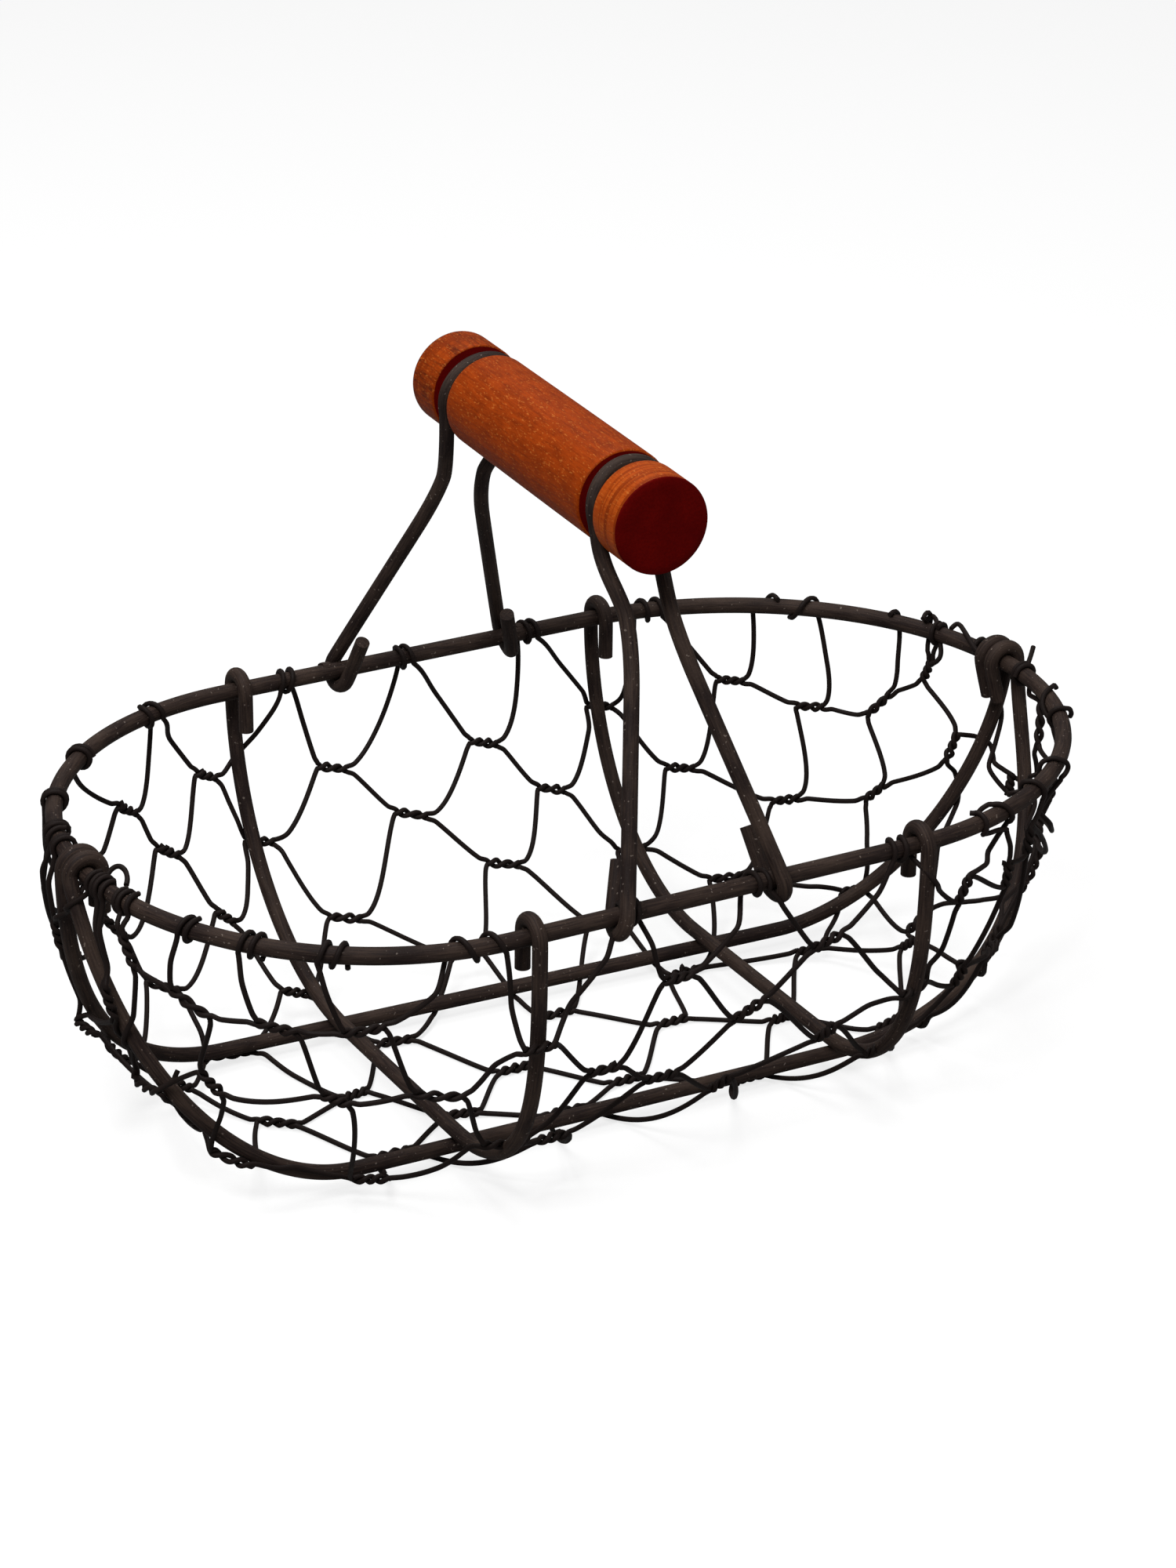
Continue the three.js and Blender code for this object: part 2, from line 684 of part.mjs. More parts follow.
// A leg of the netting between two stops, which climbs over a frame wire little by little
function leg(from, to) {
  const length = Math.hypot(to.u - from.u, to.v - from.v);
  const count = Math.ceil(length / LEG_SAMPLE);
  const places = [{ lift: from.lift }];
  for (let i = 1; i < count; i++) {
    const u = from.u + ((to.u - from.u) * i) / count;
    const v = from.v + ((to.v - from.v) * i) / count;
    places.push(sheet(u, v, netR + NET_SMOOTHNESS + LEG_MARGIN));
  }
  places.push({ lift: to.lift });
  const fall = (RIDE_SLOPE * length) / count;
  const eased = places.slice(1, -1).map(({ point, out }, i) => {
    const lift = Math.max(0, ...places.map((other, j) => other.lift - fall * Math.abs(i + 1 - j)));
    return { point: point.clone().addScaledVector(out, lift), out };
  });
  return thinned([from, ...eased, to], NET_SMOOTHNESS).slice(1, -1);
}

function strandStops(strand) {
  const above = strand === 0 ? edgeLashings(-1) : twistRows[strand - 1];
  const below = strand === ROW_COUNT ? edgeLashings(ROW_COUNT) : twistRows[strand];
  const stops = [
    ...above.map((stop) => ({ ...stop, turned: true })),
    ...below.map((stop) => ({ ...stop, turned: false })),
  ].sort((a, b) => a.u - b.u);
  if (strand > 0 && strand < ROW_COUNT) {
    const v = (rowV(strand - 1) + rowV(strand)) / 2;
    return [endLashing(v, -1), ...stops, endLashing(v, 1)];
  }
  const first = stops.findIndex((stop) => stop.lash);
  const last = stops.findLastIndex((stop) => stop.lash);
  return stops.slice(first, last + 1);
}

function strandPath(strand) {
  const stops = strandStops(strand);
  const path = [];
  stops.forEach((stop, i) => {
    let places;
    if (stop.lash) {
      const inner = i > 0 && i < stops.length - 1;
      places = lashing(stop.lash, inner ? LASH_TURNS : LASH_END_TURNS);
      if (i === 0) places.reverse();
      const edge = atEdge(stop.lash.base, stop.lash.direction, LASH_TO_SHEET);
      Object.assign(places[0], edge, { lift: 0 });
      Object.assign(places.at(-1), edge, { lift: 0 });
    } else {
      places = twistPath(stop, stop.turned);
    }
    if (path.length) path.push(...leg(path.at(-1), places[0]));
    path.push(...places);
  });
  return path;
}

// Solids that join and cut

const wasm = await Module();
wasm.setup();

function solidOf(geometry) {
  const bare = geometry.clone();
  bare.deleteAttribute('normal');
  bare.deleteAttribute('uv');
  const merged = mergeVertices(bare);
  return new wasm.Manifold(
    new wasm.Mesh({
      numProp: 3,
      vertProperties: new Float32Array(merged.attributes.position.array),
      triVerts: new Uint32Array(merged.index.array),
    }),
  );
}

function geometryOf(solid) {
  const { vertProperties, triVerts } = solid.getMesh();
  const geometry = new THREE.BufferGeometry();
  geometry.setAttribute('position', new THREE.BufferAttribute(vertProperties, 3));
  geometry.setIndex(new THREE.BufferAttribute(triVerts, 1));
  geometry.computeVertexNormals();
  return geometry;
}

// The strands' lowest twists are worn flat where the basket stands on them
function standing(geometry) {
  geometry.computeBoundingBox();
  if (geometry.boundingBox.min.z >= 0) return geometry;
  const ground = new THREE.BoxGeometry(rimLength * 2, RIM_WIDTH * 2, FRAME_WIRE);
  ground.translate(0, 0, -FRAME_WIRE / 2);
  return geometryOf(solidOf(geometry).subtract(solidOf(ground)));
}

// The pieces

const paintedWire = () => material(0x2f2623, 0.62, 0.35);
const nettingWire = () => material(0x1d1917, 0.6, 0.4);

addPiece('rim', rim, paintedWire());
addPiece('cross_rib_left', wire(ribLeft, frameR, WIRE_SIDES), paintedWire());
addPiece('cross_rib_right', wire(ribRight, frameR, WIRE_SIDES), paintedWire());
addPiece('stringer_back', wire(stringerBack, frameR, WIRE_SIDES), paintedWire());
addPiece('stringer_front', wire(stringerFront, frameR, WIRE_SIDES), paintedWire());
addPiece('bail_back', wire(bailBack, frameR, WIRE_SIDES), paintedWire());
addPiece('bail_front', wire(bailFront, frameR, WIRE_SIDES), paintedWire());

const grip = addPiece('grip', gripGeometry(), material(0xb4521c, 0.5, 0));
grip.position.set(gripX, 0, gripZ).addScaledVector(gripAxis, GRIP_ALONG);
grip.rotation.z = -rad(GRIP_YAW);

for (let strand = 0; strand <= ROW_COUNT; strand++) {
  const path = strandPath(strand);
  const points = path.map((place) => place.point);
  const outward = path.map((place) => place.out);
  const strandWire = standing(wire(points, netR, NET_SIDES, outward));
  addPiece(`netting_strand_${String(strand + 1).padStart(2, '0')}`, strandWire, nettingWire());
}

export default part;
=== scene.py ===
"""Looks of an oblong wire basket: a painted wire frame, twisted hexagonal netting that is lashed
to its rim, and a turned wooden grip between two wire bails. Lines and constants are in
millimetres, properties and meshes in metres."""

import random
from functools import partial
from math import acos, asin, atan2, cos, hypot, pi, radians, sin, sqrt

import bpy
import numpy as np
from bpy.props import FloatProperty, FloatVectorProperty, IntProperty, PointerProperty
from mathutils import Matrix, Vector


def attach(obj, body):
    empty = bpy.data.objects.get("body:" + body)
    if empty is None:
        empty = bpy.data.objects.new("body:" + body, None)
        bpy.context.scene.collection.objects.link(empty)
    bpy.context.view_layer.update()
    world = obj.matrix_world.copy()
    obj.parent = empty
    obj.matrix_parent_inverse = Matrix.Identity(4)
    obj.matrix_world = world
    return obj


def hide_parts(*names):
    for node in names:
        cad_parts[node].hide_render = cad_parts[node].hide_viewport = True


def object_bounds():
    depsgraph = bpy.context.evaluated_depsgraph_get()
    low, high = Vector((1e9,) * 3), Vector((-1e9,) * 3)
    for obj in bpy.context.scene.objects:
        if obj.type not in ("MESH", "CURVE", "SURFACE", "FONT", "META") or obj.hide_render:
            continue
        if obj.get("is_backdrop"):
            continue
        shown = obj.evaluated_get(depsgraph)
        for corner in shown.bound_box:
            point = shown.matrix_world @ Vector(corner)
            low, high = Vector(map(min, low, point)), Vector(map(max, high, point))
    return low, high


bl_info = {
    "name": "Wire basket",
    "version": (1, 0, 0),
    "blender": (4, 5, 0),
    "location": "View3D > Sidebar > Basket",
    "description": "Builds a wire basket with netting and a turned grip around its packed frame",
    "category": "Object",
}

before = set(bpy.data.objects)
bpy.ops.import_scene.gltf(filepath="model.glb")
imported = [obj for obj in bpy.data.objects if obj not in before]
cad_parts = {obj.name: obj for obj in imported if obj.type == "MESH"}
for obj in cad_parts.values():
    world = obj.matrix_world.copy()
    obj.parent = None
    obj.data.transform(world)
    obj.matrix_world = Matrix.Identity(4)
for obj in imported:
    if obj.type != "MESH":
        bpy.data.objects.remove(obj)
cad_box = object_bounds()

MM = 0.001


def linear(code):
    """An sRGB hex colour as linear red, green and blue."""
    parts = [int(code[i : i + 2], 16) / 255 for i in (1, 3, 5)]
    return tuple(c / 12.92 if c <= 0.04045 else ((c + 0.055) / 1.055) ** 2.4 for c in parts)


def length(name, description, millimetres):
    return FloatProperty(
        name=name, description=description, default=millimetres * MM, unit="LENGTH", precision=4
    )


def colour(name, description, code):
    return FloatVectorProperty(
        name=name, description=description, default=linear(code), subtype="COLOR", min=0, max=1
    )


class FrameSizes(bpy.types.PropertyGroup):
    """Sizes of the rim, ribs, stringers and bails."""

    rim_wire: length("Rim wire", "Thickness of the rim's wire", 4.5)
    frame_wire: length("Frame wire", "Thickness of the ribs, stringers and bails", 4)
    rim_width: length("Rim width", "From wire centre to wire centre across the basket", 166.7)
    rim_straight: length("Straight stretch", "Straight part of the rim's long sides", 112.2)
    left_end: length("Left end", "Depth of the rim's rounded left end", 76.9)
    right_end: length("Right end", "Depth of the rim's rounded right end", 88.3)
    rib_left: length("Left rib", "Place of the left rib along the rim", -51.3)
    rib_right: length("Right rib", "Place of the right rib along the rim", 60.2)
    rib_drop: length("Rib drop", "From the rim down to the ribs' run", 73.4)


class GripSizes(bpy.types.PropertyGroup):
    """Sizes of the turned grip."""

    length: length("Length", "Whole length of the grip", 117.8)
    diameter: length("Diameter", "Diameter of the dowel", 25.4)
    height: length("Height", "Grip's axis above the rim", 88.6)
    groove_spacing: length("Groove spacing", "Between the middles of the two grooves", 84.2)
    groove_width: length("Groove width", "Width of a groove", 8.2)
    groove_diameter: length("Groove diameter", "Diameter at a groove's bottom", 16.4)


class NettingSizes(bpy.types.PropertyGroup):
    """Sizes of the netting."""

    wire: length("Netting wire", "Thickness of the netting's wire", 1.1)
    coat: length("Coat", "Thickness of the paint on the netting's wire", 0.15)
    twist_pitch: length("Twist pitch", "Between the twists of one row", 44)
    row_pitch: length("Row pitch", "Between the rows of twists", 20.5)
    twist_length: length("Twist length", "Length of one twist", 8.6)
    turns: IntProperty(name="Half turns", description="Half turns in one twist", default=3, min=1)
    seed: IntProperty(name="Seed", description="Seed of the hand work's chance", default=7)


class Finishes(bpy.types.PropertyGroup):
    """Colours of the materials."""

    paint: colour("Paint", "Matte dark brown paint of the frame", "#241b19")
    # Lighter patches on the frame's paint: partly rubbed paint, partly painted highlight
    paint_worn: colour("Worn paint", "Paint rubbed lighter on the frame", "#43362f")
    netting: colour("Netting", "Near-black paint of the netting", "#1e1715")
    wood: colour("Wood", "Stained wood of the grip", "#a03d06")
    wood_dark: colour("Wood, late grain", "Darker grain of the grip", "#7e2b01")
    wood_light: colour("Wood, collars", "Lighter stain of the grip's collars", "#b14d12")
    # The far collar's colour is the collar finish drawn darker: painted shade
    wood_deep: colour("Wood, far collar", "Deepest stain, on the far collar", "#5a1d02")
    end_grain: colour("End grain", "Dark red stain on the end grain and in the grooves", "#530202")


# Frame wires. Corners: how far they reach inwards, and a power over 1 for a bend lower down
RIB_BENDS = {"left": (67, 1.58), "right": (61, 1.4)}
RIB_CORNER_FRONT = 44
RIB_TAIL = 10.4
# Stringers by side and way: their run's y, reach, the power of their splay and of their bend
STRINGER_BENDS = {
    (1, -1): (30.6, 57.4, 2, 1), (1, 1): (23.2, 63.3, 1.25, 1),
    (-1, -1): (-42.5, 59, 0.95, 1), (-1, 1): (-46, 86, 1.64, 1.34),
}
STRINGER_HOOKS_Y = {-1: 0.4, 1: 6.2}
STRINGER_APART = 0.15
STRINGER_TAIL = 11.2
TAIL_BACK = {-1: 0.0, 1: 3.0}
HOOK_GAP = 0.16
HOOK_TURNS = [radians(180 - i * 22.5) for i in range(9)]
CORNER_STEPS = 18
CROSSING_GAP = 0.3
NET_TO_GROUND = 0.895
NET_ROOM = 0.95
RIM_STEP = 1.2
WIRE_STEP = 0.8

# Bails by side and way: the foot's place on the rim, half widths of throat and neck, the tail's
# length and lean, and the weld bead's place beside the hook
BAIL_LEGS = {
    (1, -1): (-20.6, 9.1, 6.5, 16.6, -3.3, -4.4), (1, 1): (30.5, 10.4, 5.6, 16, 0, 4.2),
    (-1, -1): (-26.7, 9.2, 6.2, 13.4, 1.4, 4.6), (-1, 1): (17.3, 6.9, 6.2, 14.5, 1.4, -4.4),
}
BAIL_TILT = 9
LOOP_SHIFTS = {1: 1.4, -1: 0.0}
LOOP_GAP = 0.15
THROAT_DROP = 12.8
NECK_DROP = 23.6
SHOULDER_DROP = 31
SHOULDER_BEND = 0.2
BEAD_LENGTH = 2.2
BEAD_OUT = 0.5
BEAD_UP = 0.75
GRIP_PLACE = 0.3
GRIP_ALONG = 1.05
GRIP_YAW = 2.4
GRIP_STEP = 2.0
GRIP_SIDES = 96

# The bowl that the netting is pressed into: how far its slopes lean inwards from the rim down to
# the floor, and how far it stands out of the rim
BOWL_BACK = 76
BOWL_FRONT = 46
BOWL_ENDS = {-1: 50, 1: 66}
BOWL_PROUD = 3.5
BOWL_PROUD_ENDS = {-1: 5, 1: -0.5}
# The rows of twists on it: how far each strays, backwards in row pitches and to the left in twist
# pitches, and how near the rim the even lattice goes
FIRST_ROW = 105
EVEN_ROWS_AT = 16
ROW_SHIFTS = (0, 0.17, 0.1, 0.12, -0.2, -0.46, -0.44, -0.56, -0.58, -0.3, 0.07, -0.02)
ROW_DRIFTS = (0, 0.02, 0.07, 0.09, 0.32, 0.32, 0.25, 0.27, 0.18, 0.18, 0.14, 0.18)
COLUMNS = range(-5, 6)
HAND_WORK = 1.8
TWIST_TO_RIM = 11
# How the sheet rides over a frame wire, and how steeply a wire climbs there
RIDE_GAP = 0.05
RIDE_LIMIT = 12
RIDE_STEP = 0.1
RIDE_SLOPE = 0.6
SHEET_STEP = 0.5
# Least heights over the ground, in wire radii
TWIST_LOWEST = 1.9
WIRE_LOWEST = 1.06

# Twists: places of an eyelet along one, its width and how far it swells, all in shares, how
# unevenly one turns, and how its ends lean on to the legs in the back rows and in the others
EYELETS = (0.33, 0.66, 0.7)
EYELET_WIDTH = 0.17
SWELLS = (0.05, 0.45)
TWIST_TIGHT = 0.97
SQUEEZE = 0.05
BACK_ROWS = 3
TWIST_LEANS = (0.7, 0.35)
TWIST_POINTS = 31
TWIST_BLEND = 2.5
SLACK_BLEND = 4

# Search for the place that the camera sees at a pixel: close enough in pixels, far and one step
# in millimetres
PULL_TRIES = 16
PULL_CLOSE = 0.7
PULL_FAR = 34
PULL_STEP = 6
PULL_SHARE = 0.8

# Legs of the netting: where the back wall starts in the sum of a leg's ends, and the bows
LEG_LEAN = 0.2
LEG_STRAY = 0.03
BACK_WALL = 60
UNDER_RIM = 215
BACK_BOW = 0.1
RIM_BOW = 0.07

# Lashings: degrees of a turn's start and end, of one step, and space to the rim in wire radii
LASH_FROM = -25
LASH_TO = 208
LASH_ENDS = (-95, -40, 60)
LASH_STEP = 17
LASH_TIGHT = 1.04
LASH_WAVE = 0.08
LASH_SKEW = 0.5
LASH_FLIPS = 0.4
# How far below the rim a lashing meets the sheet at its start and end, and how the legs go on
LASH_DEPTHS = (3.5, 1.5)
LASH_LEANS = (0.5, -0.1)
LASH_BLEND = 8
BACK_BLEND = 20
BACK_FROM = 20
SIDEWAYS = 0.35
CUT_TAIL = (0.3, 0.6)
CUT_LIFT = 0.2
# A drawn lashing lies on the rim with this slack, as far down as this from the rim's centre
DRAWN_SLACK = 0.4
DRAWN_LOWEST = -3

# Camera, fitted to the rim and the grip in the photograph
PHOTO = (1500, 2000)
FOCAL_PIXELS = 5803.9
CAMERA_DISTANCE = 1189.2
CAMERA_AZIMUTH = -29.377
CAMERA_ELEVATION = 24.910
CAMERA_ROLL = 0.791
CAMERA_AIM = (-9.289, 4.237)
RIM_CENTRE = (-5.7, 0, 82.4)

# Twists that the photograph shows, by row from the back and place in the row: the pixels of their
# left and right ends, or of their middles
TWIST_PIXELS = (
    {-3: (150, 1028, 176, 1037), -2: (250, 986, 277, 992), -1: (405, 977, 442, 981),
     0: (599, 945, 635, 949), 1: (748, 899, 783, 901), 2: (914, 866, 949, 869)},
    {-3: (108, 1122, 127, 1094), -2: (199, 1081, 230, 1091), -1: (312, 1071, 350, 1074),
     0: (504, 1035, 545, 1041), 1: (686, 1004, 721, 1008), 2: (849, 978, 886, 980),
     3: (1015, 900, 1051, 902)},
    {-3: (133, 1170, 160, 1196), -2: (276, 1162, 300, 1177), -1: (419, 1169, 461, 1172),
     0: (621, 1100, 663, 1103), 1: (787, 1084, 825, 1080), 2: (984, 1022, 1019, 1018),
     3: (1105, 912, 1136, 885)},
    {-2: (186, 1250, 229, 1264), -1: (358, 1263, 393, 1268), 2: (904, 1121, 946, 1117),
     3: (1103, 1020, 1128, 1001), 4: (1177, 868, 1187, 845)},
    {-2: (265, 1348, 318, 1340), -1: (483, 1331, 524, 1325), 0: (712, 1294), 1: (872, 1240),
     2: (1072, 1137, 1101, 1133), 3: (1206, 972, 1221, 935)},
    {-3: (98, 1302, 118, 1318), -2: (215, 1378, 244, 1388), -1: (440, 1401, 466, 1393),
     0: (655, 1365), 1: (858, 1304), 2: (1018, 1214, 1046, 1208), 4: (1290, 989, 1285, 1013)},
    {-2: (329, 1431, 378, 1436), -1: (570, 1424, 610, 1420), 0: (799, 1379),
     1: (984, 1303, 1007, 1297), 2: (1149, 1209, 1166, 1199), 4: (1324, 949, 1328, 897)},
    {-3: (172, 1376, 203, 1393), -2: (269, 1468, 316, 1486), -1: (480, 1478, 522, 1468),
     0: (700, 1424, 742, 1414), 1: (936, 1380, 973, 1371), 2: (1118, 1312, 1145, 1298)},
    {-4: (156, 1194, 172, 1234), -3: (255, 1367, 285, 1397), -2: (449, 1504, 496, 1503),
     -1: (705, 1450), 0: (906, 1389, 932, 1374), 1: (1104, 1346, 1131, 1325),
     2: (1255, 1222, 1270, 1200), 3: (1322, 1075, 1326, 1045)},
    {-3: (218, 1262, 269, 1298), -2: (411, 1397, 446, 1409), -1: (615, 1461, 668, 1458),
     0: (843, 1373), 1: (1041, 1325, 1067, 1308), 2: (1216, 1256, 1231, 1232),
     3: (1309, 1089, 1315, 1055)},
    {-3: (327, 1304, 379, 1317), -2: (529, 1395, 593, 1398), -1: (771, 1364),
     0: (937, 1300, 975, 1275), 1: (1149, 1271, 1180, 1253), 2: (1282, 1130, 1288, 1102)},
    {-2: (439, 1318, 491, 1310), -1: (688, 1337), 0: (866, 1247), 1: (1038, 1209, 1075, 1190),
     2: (1222, 1151, 1237, 1118)},
)

# Lashings that the photograph shows: the pixel of the middle on the rim, the full turns beside the
# last half, the advance in one turn, the looseness over the rim and the start's shift, the last
# three in millimetres
EDGE_LASHINGS = (
    ((103, 966, 1, 1.8), (188, 913, 1, 4.2, 0, 7), (357, 863, 1, 2.8), (510, 836, 1, 2.7, 0, 2.7),
     (673, 806, 1, 2.5), (826, 776, 1, 4.2), (982, 771, 0, 11, 0.2, -3)),
    ((427, 1215, 1, 4), (602, 1202, 1, 8, 0.2), (798, 1163, 1, 4.4), (960, 1122, 1, 2.8),
     (1140, 1080, 1, 3.4), (1244, 1050)),
)
END_LASHINGS = (
    ((68, 1021, 1, 1.3), (1029, 774, 0, -11, 0.2, -2)),
    ((62, 1062, 1, 1.4), (1144, 790, 0, -2)),
    ((68, 1072, 0, 2, 0.2), (1189, 799, 0, 4, 2.2)),
    ((74, 1082, 1, 1.3), (1201, 806, 1, 1.4)),
    ((118, 1128, 0, 3), (1262, 823, 0, 4)),
    ((126, 1134, 1, 1.6, 0.2), (1318, 857, 1, 1.5)),
    ((136, 1141, 0, 2), (1340, 885)),
    ((156, 1152, 1, 1.6), (1358, 912)),
    ((168, 1159, 0, 3, 0.3), (1338, 984)),
    ((242, 1185, 1, 2.2), (1308, 1010)),
    ((325, 1203, 1, 3), (1262, 1038)),
)

# Single loops of wire over the rim at the right end, from where the wire comes up: pixels, and
# millimetres above the rim's centre
DRAWN_LASHINGS = {
    (1244, 1050): (
        (1262, 1083, -9), (1275, 1062, -5.5), (1287, 1046, -2.4), (1287, 1036, 0.6),
        (1276, 1028, 2.5), (1262, 1025, 2.9), (1248, 1029, 2.2), (1240, 1036, 0.4),
    ),
    (1340, 885): (
        (1343, 926, -4), (1337, 908, -1), (1336, 890, 1), (1341, 876, 2.7), (1349, 871, 2.9),
        (1356, 874, 2),
    ),
    (1358, 912): (
        (1345, 922, -2), (1348, 909, 1.8), (1360, 902, 2.9), (1371, 907, 1.2), (1371, 915, -1.2),
    ),
    (1338, 984): (
        (1326, 1032, -8.5), (1337, 1014, -6), (1351, 997, -3.6), (1363, 983, -1.2),
        (1363, 974, 1), (1355, 969, 2.7), (1340, 967, 2.9), (1326, 973, 1.8), (1316, 986, -1.5),
        (1312, 996, -5),
    ),
    (1308, 1010): (
        (1330, 1020, -2.4), (1334, 1011, 0), (1324, 1000, 2.5), (1311, 996, 2.9),
        (1299, 999, 1.8), (1290, 1008, -1.5), (1287, 1014, -4),
    ),
    (1262, 1038): (
        (1284, 1058, -4.5), (1274, 1058, -3.4), (1262, 1063, -2.9), (1251, 1064, -2.2),
        (1253, 1051, 0.4), (1246, 1038, 2.6), (1237, 1037, 2.6),
    ),
}

# Loose bits of wire by the strand they belong to: cut ends that stand out of a twist, in pixels
# from the twist on, and curls by the rim with millimetres above the rim's centre
LOOSE_WIRES = {
    1: (
        ((155, 1031), (156, 1023), (153, 1018)), ((258, 990), (259, 981), (256, 976)),
        ((1310, 850, 2.2), (1315, 836, 3.6), (1318, 825, 5)),
    ),
    2: (
        ((205, 1085), (206, 1076), (209, 1073)), ((212, 1086), (213, 1078), (215, 1075)),
        ((1180, 793, 2.6), (1190, 783, 3.6), (1197, 797, 3), (1199, 818, -2), (1201, 836, -5),
         (1194, 845, -7), (1187, 847, -8)),
        ((1213, 802, 2.4), (1222, 793, 3.4), (1232, 808, 3), (1240, 822, 2.6), (1248, 833, 1)),
    ),
    3: (((278, 1168), (278, 1160), (281, 1156)), ((137, 1178), (137, 1171), (141, 1168))),
    5: (((222, 1376), (226, 1366), (229, 1360)), ((869, 1240), (868, 1231), (872, 1228))),
    6: (((783, 1362), (781, 1352), (787, 1349)),),
    8: (
        ((490, 1500), (489, 1492), (493, 1490)), ((712, 1448), (712, 1439), (717, 1443)),
        ((941, 1376), (941, 1385), (937, 1390)), ((1134, 1322), (1136, 1331), (1133, 1334)),
    ),
    9: (
        ((1058, 1312), (1062, 1303), (1068, 1307)),
        ((1226, 1240), (1219, 1224), (1228, 1222), (1240, 1226)),
    ),
    10: (
        ((1284, 1106), (1280, 1098), (1277, 1099)), ((1297, 1204), (1291, 1197), (1287, 1198)),
    ),
    11: (
        ((133, 1130, 0.5), (138, 1112, 3), (150, 1103, 4.5), (160, 1109, 4), (163, 1121, 2.8),
         (161, 1129, 2.2)),
    ),
}
LOOSE_REACH = 8
LOOSE_SHARE = 0.75


def vec(x, y, z):
    return np.array([x, y, z], float)


def unit(v):
    return v / np.linalg.norm(v, axis=-1, keepdims=True)


def between(places, known, values):
    """Rows of values between the known ones."""
    return np.column_stack([np.interp(places, known, column) for column in values.T])


def distances(line):
    """How far along the line each of its points is."""
    return np.r_[0, np.cumsum(np.linalg.norm(np.diff(line, axis=0), axis=1))]


def evenly(line, step):
    """The same line with points at even distances."""
    along = distances(line)
    count = max(2, int(round(along[-1] / step)) + 1)
    return between(np.linspace(0, along[-1], count), along, line)


def rounded(line, rounds=3):
    """The line with its corners cut again and again until they are smooth."""
    line = np.array(line)
    for _ in range(rounds):
        near = line[:-1] * 0.75 + line[1:] * 0.25
        far = line[:-1] * 0.25 + line[1:] * 0.75
        line = np.vstack([line[:1], np.stack([near, far], 1).reshape(-1, 3)[1:-1], line[-1:]])
    return line


class PhotoView:
    """The photograph's camera: where it sees a point, and the ray through a pixel."""

    def __init__(self):
        az, el, roll = (radians(a) for a in (CAMERA_AZIMUTH, CAMERA_ELEVATION, CAMERA_ROLL))
        back = vec(sin(az) * cos(el), -cos(az) * cos(el), sin(el))
        self.forward = -back
        level = unit(np.cross(self.forward, vec(0, 0, 1)))
        upright = np.cross(level, self.forward)
        self.right = cos(roll) * level + sin(roll) * upright
        self.up = cos(roll) * upright - sin(roll) * level
        aim = self.right * CAMERA_AIM[0] + self.up * CAMERA_AIM[1]
        self.place = back * CAMERA_DISTANCE - aim + vec(*RIM_CENTRE)

    def pixel(self, point):
        offset = point - self.place
        scale = FOCAL_PIXELS / (offset @ self.forward)
        x, y = scale * (offset @ self.right), scale * (offset @ self.up)
        return np.array([PHOTO[0] / 2 + x, PHOTO[1] / 2 - y])

    def ray(self, pixel):
        x, y = pixel[0] - PHOTO[0] / 2, pixel[1] - PHOTO[1] / 2
        return unit(self.forward * FOCAL_PIXELS + self.right * x - self.up * y)

    def at_height(self, pixel, z):
        ray = self.ray(pixel)
        return self.place + ray * (z - self.place[2]) / ray[2]

    def slack(self, point, pixel):
        """The move across the view that brings a point to a pixel."""
        scale = CAMERA_DISTANCE / FOCAL_PIXELS
        across, down = self.pixel(point) - pixel
        rise = scale * down / cos(radians(CAMERA_ELEVATION))
        return vec(0, 0, rise) - scale * across * self.right * (1, 1, 0)


VIEW = PhotoView()


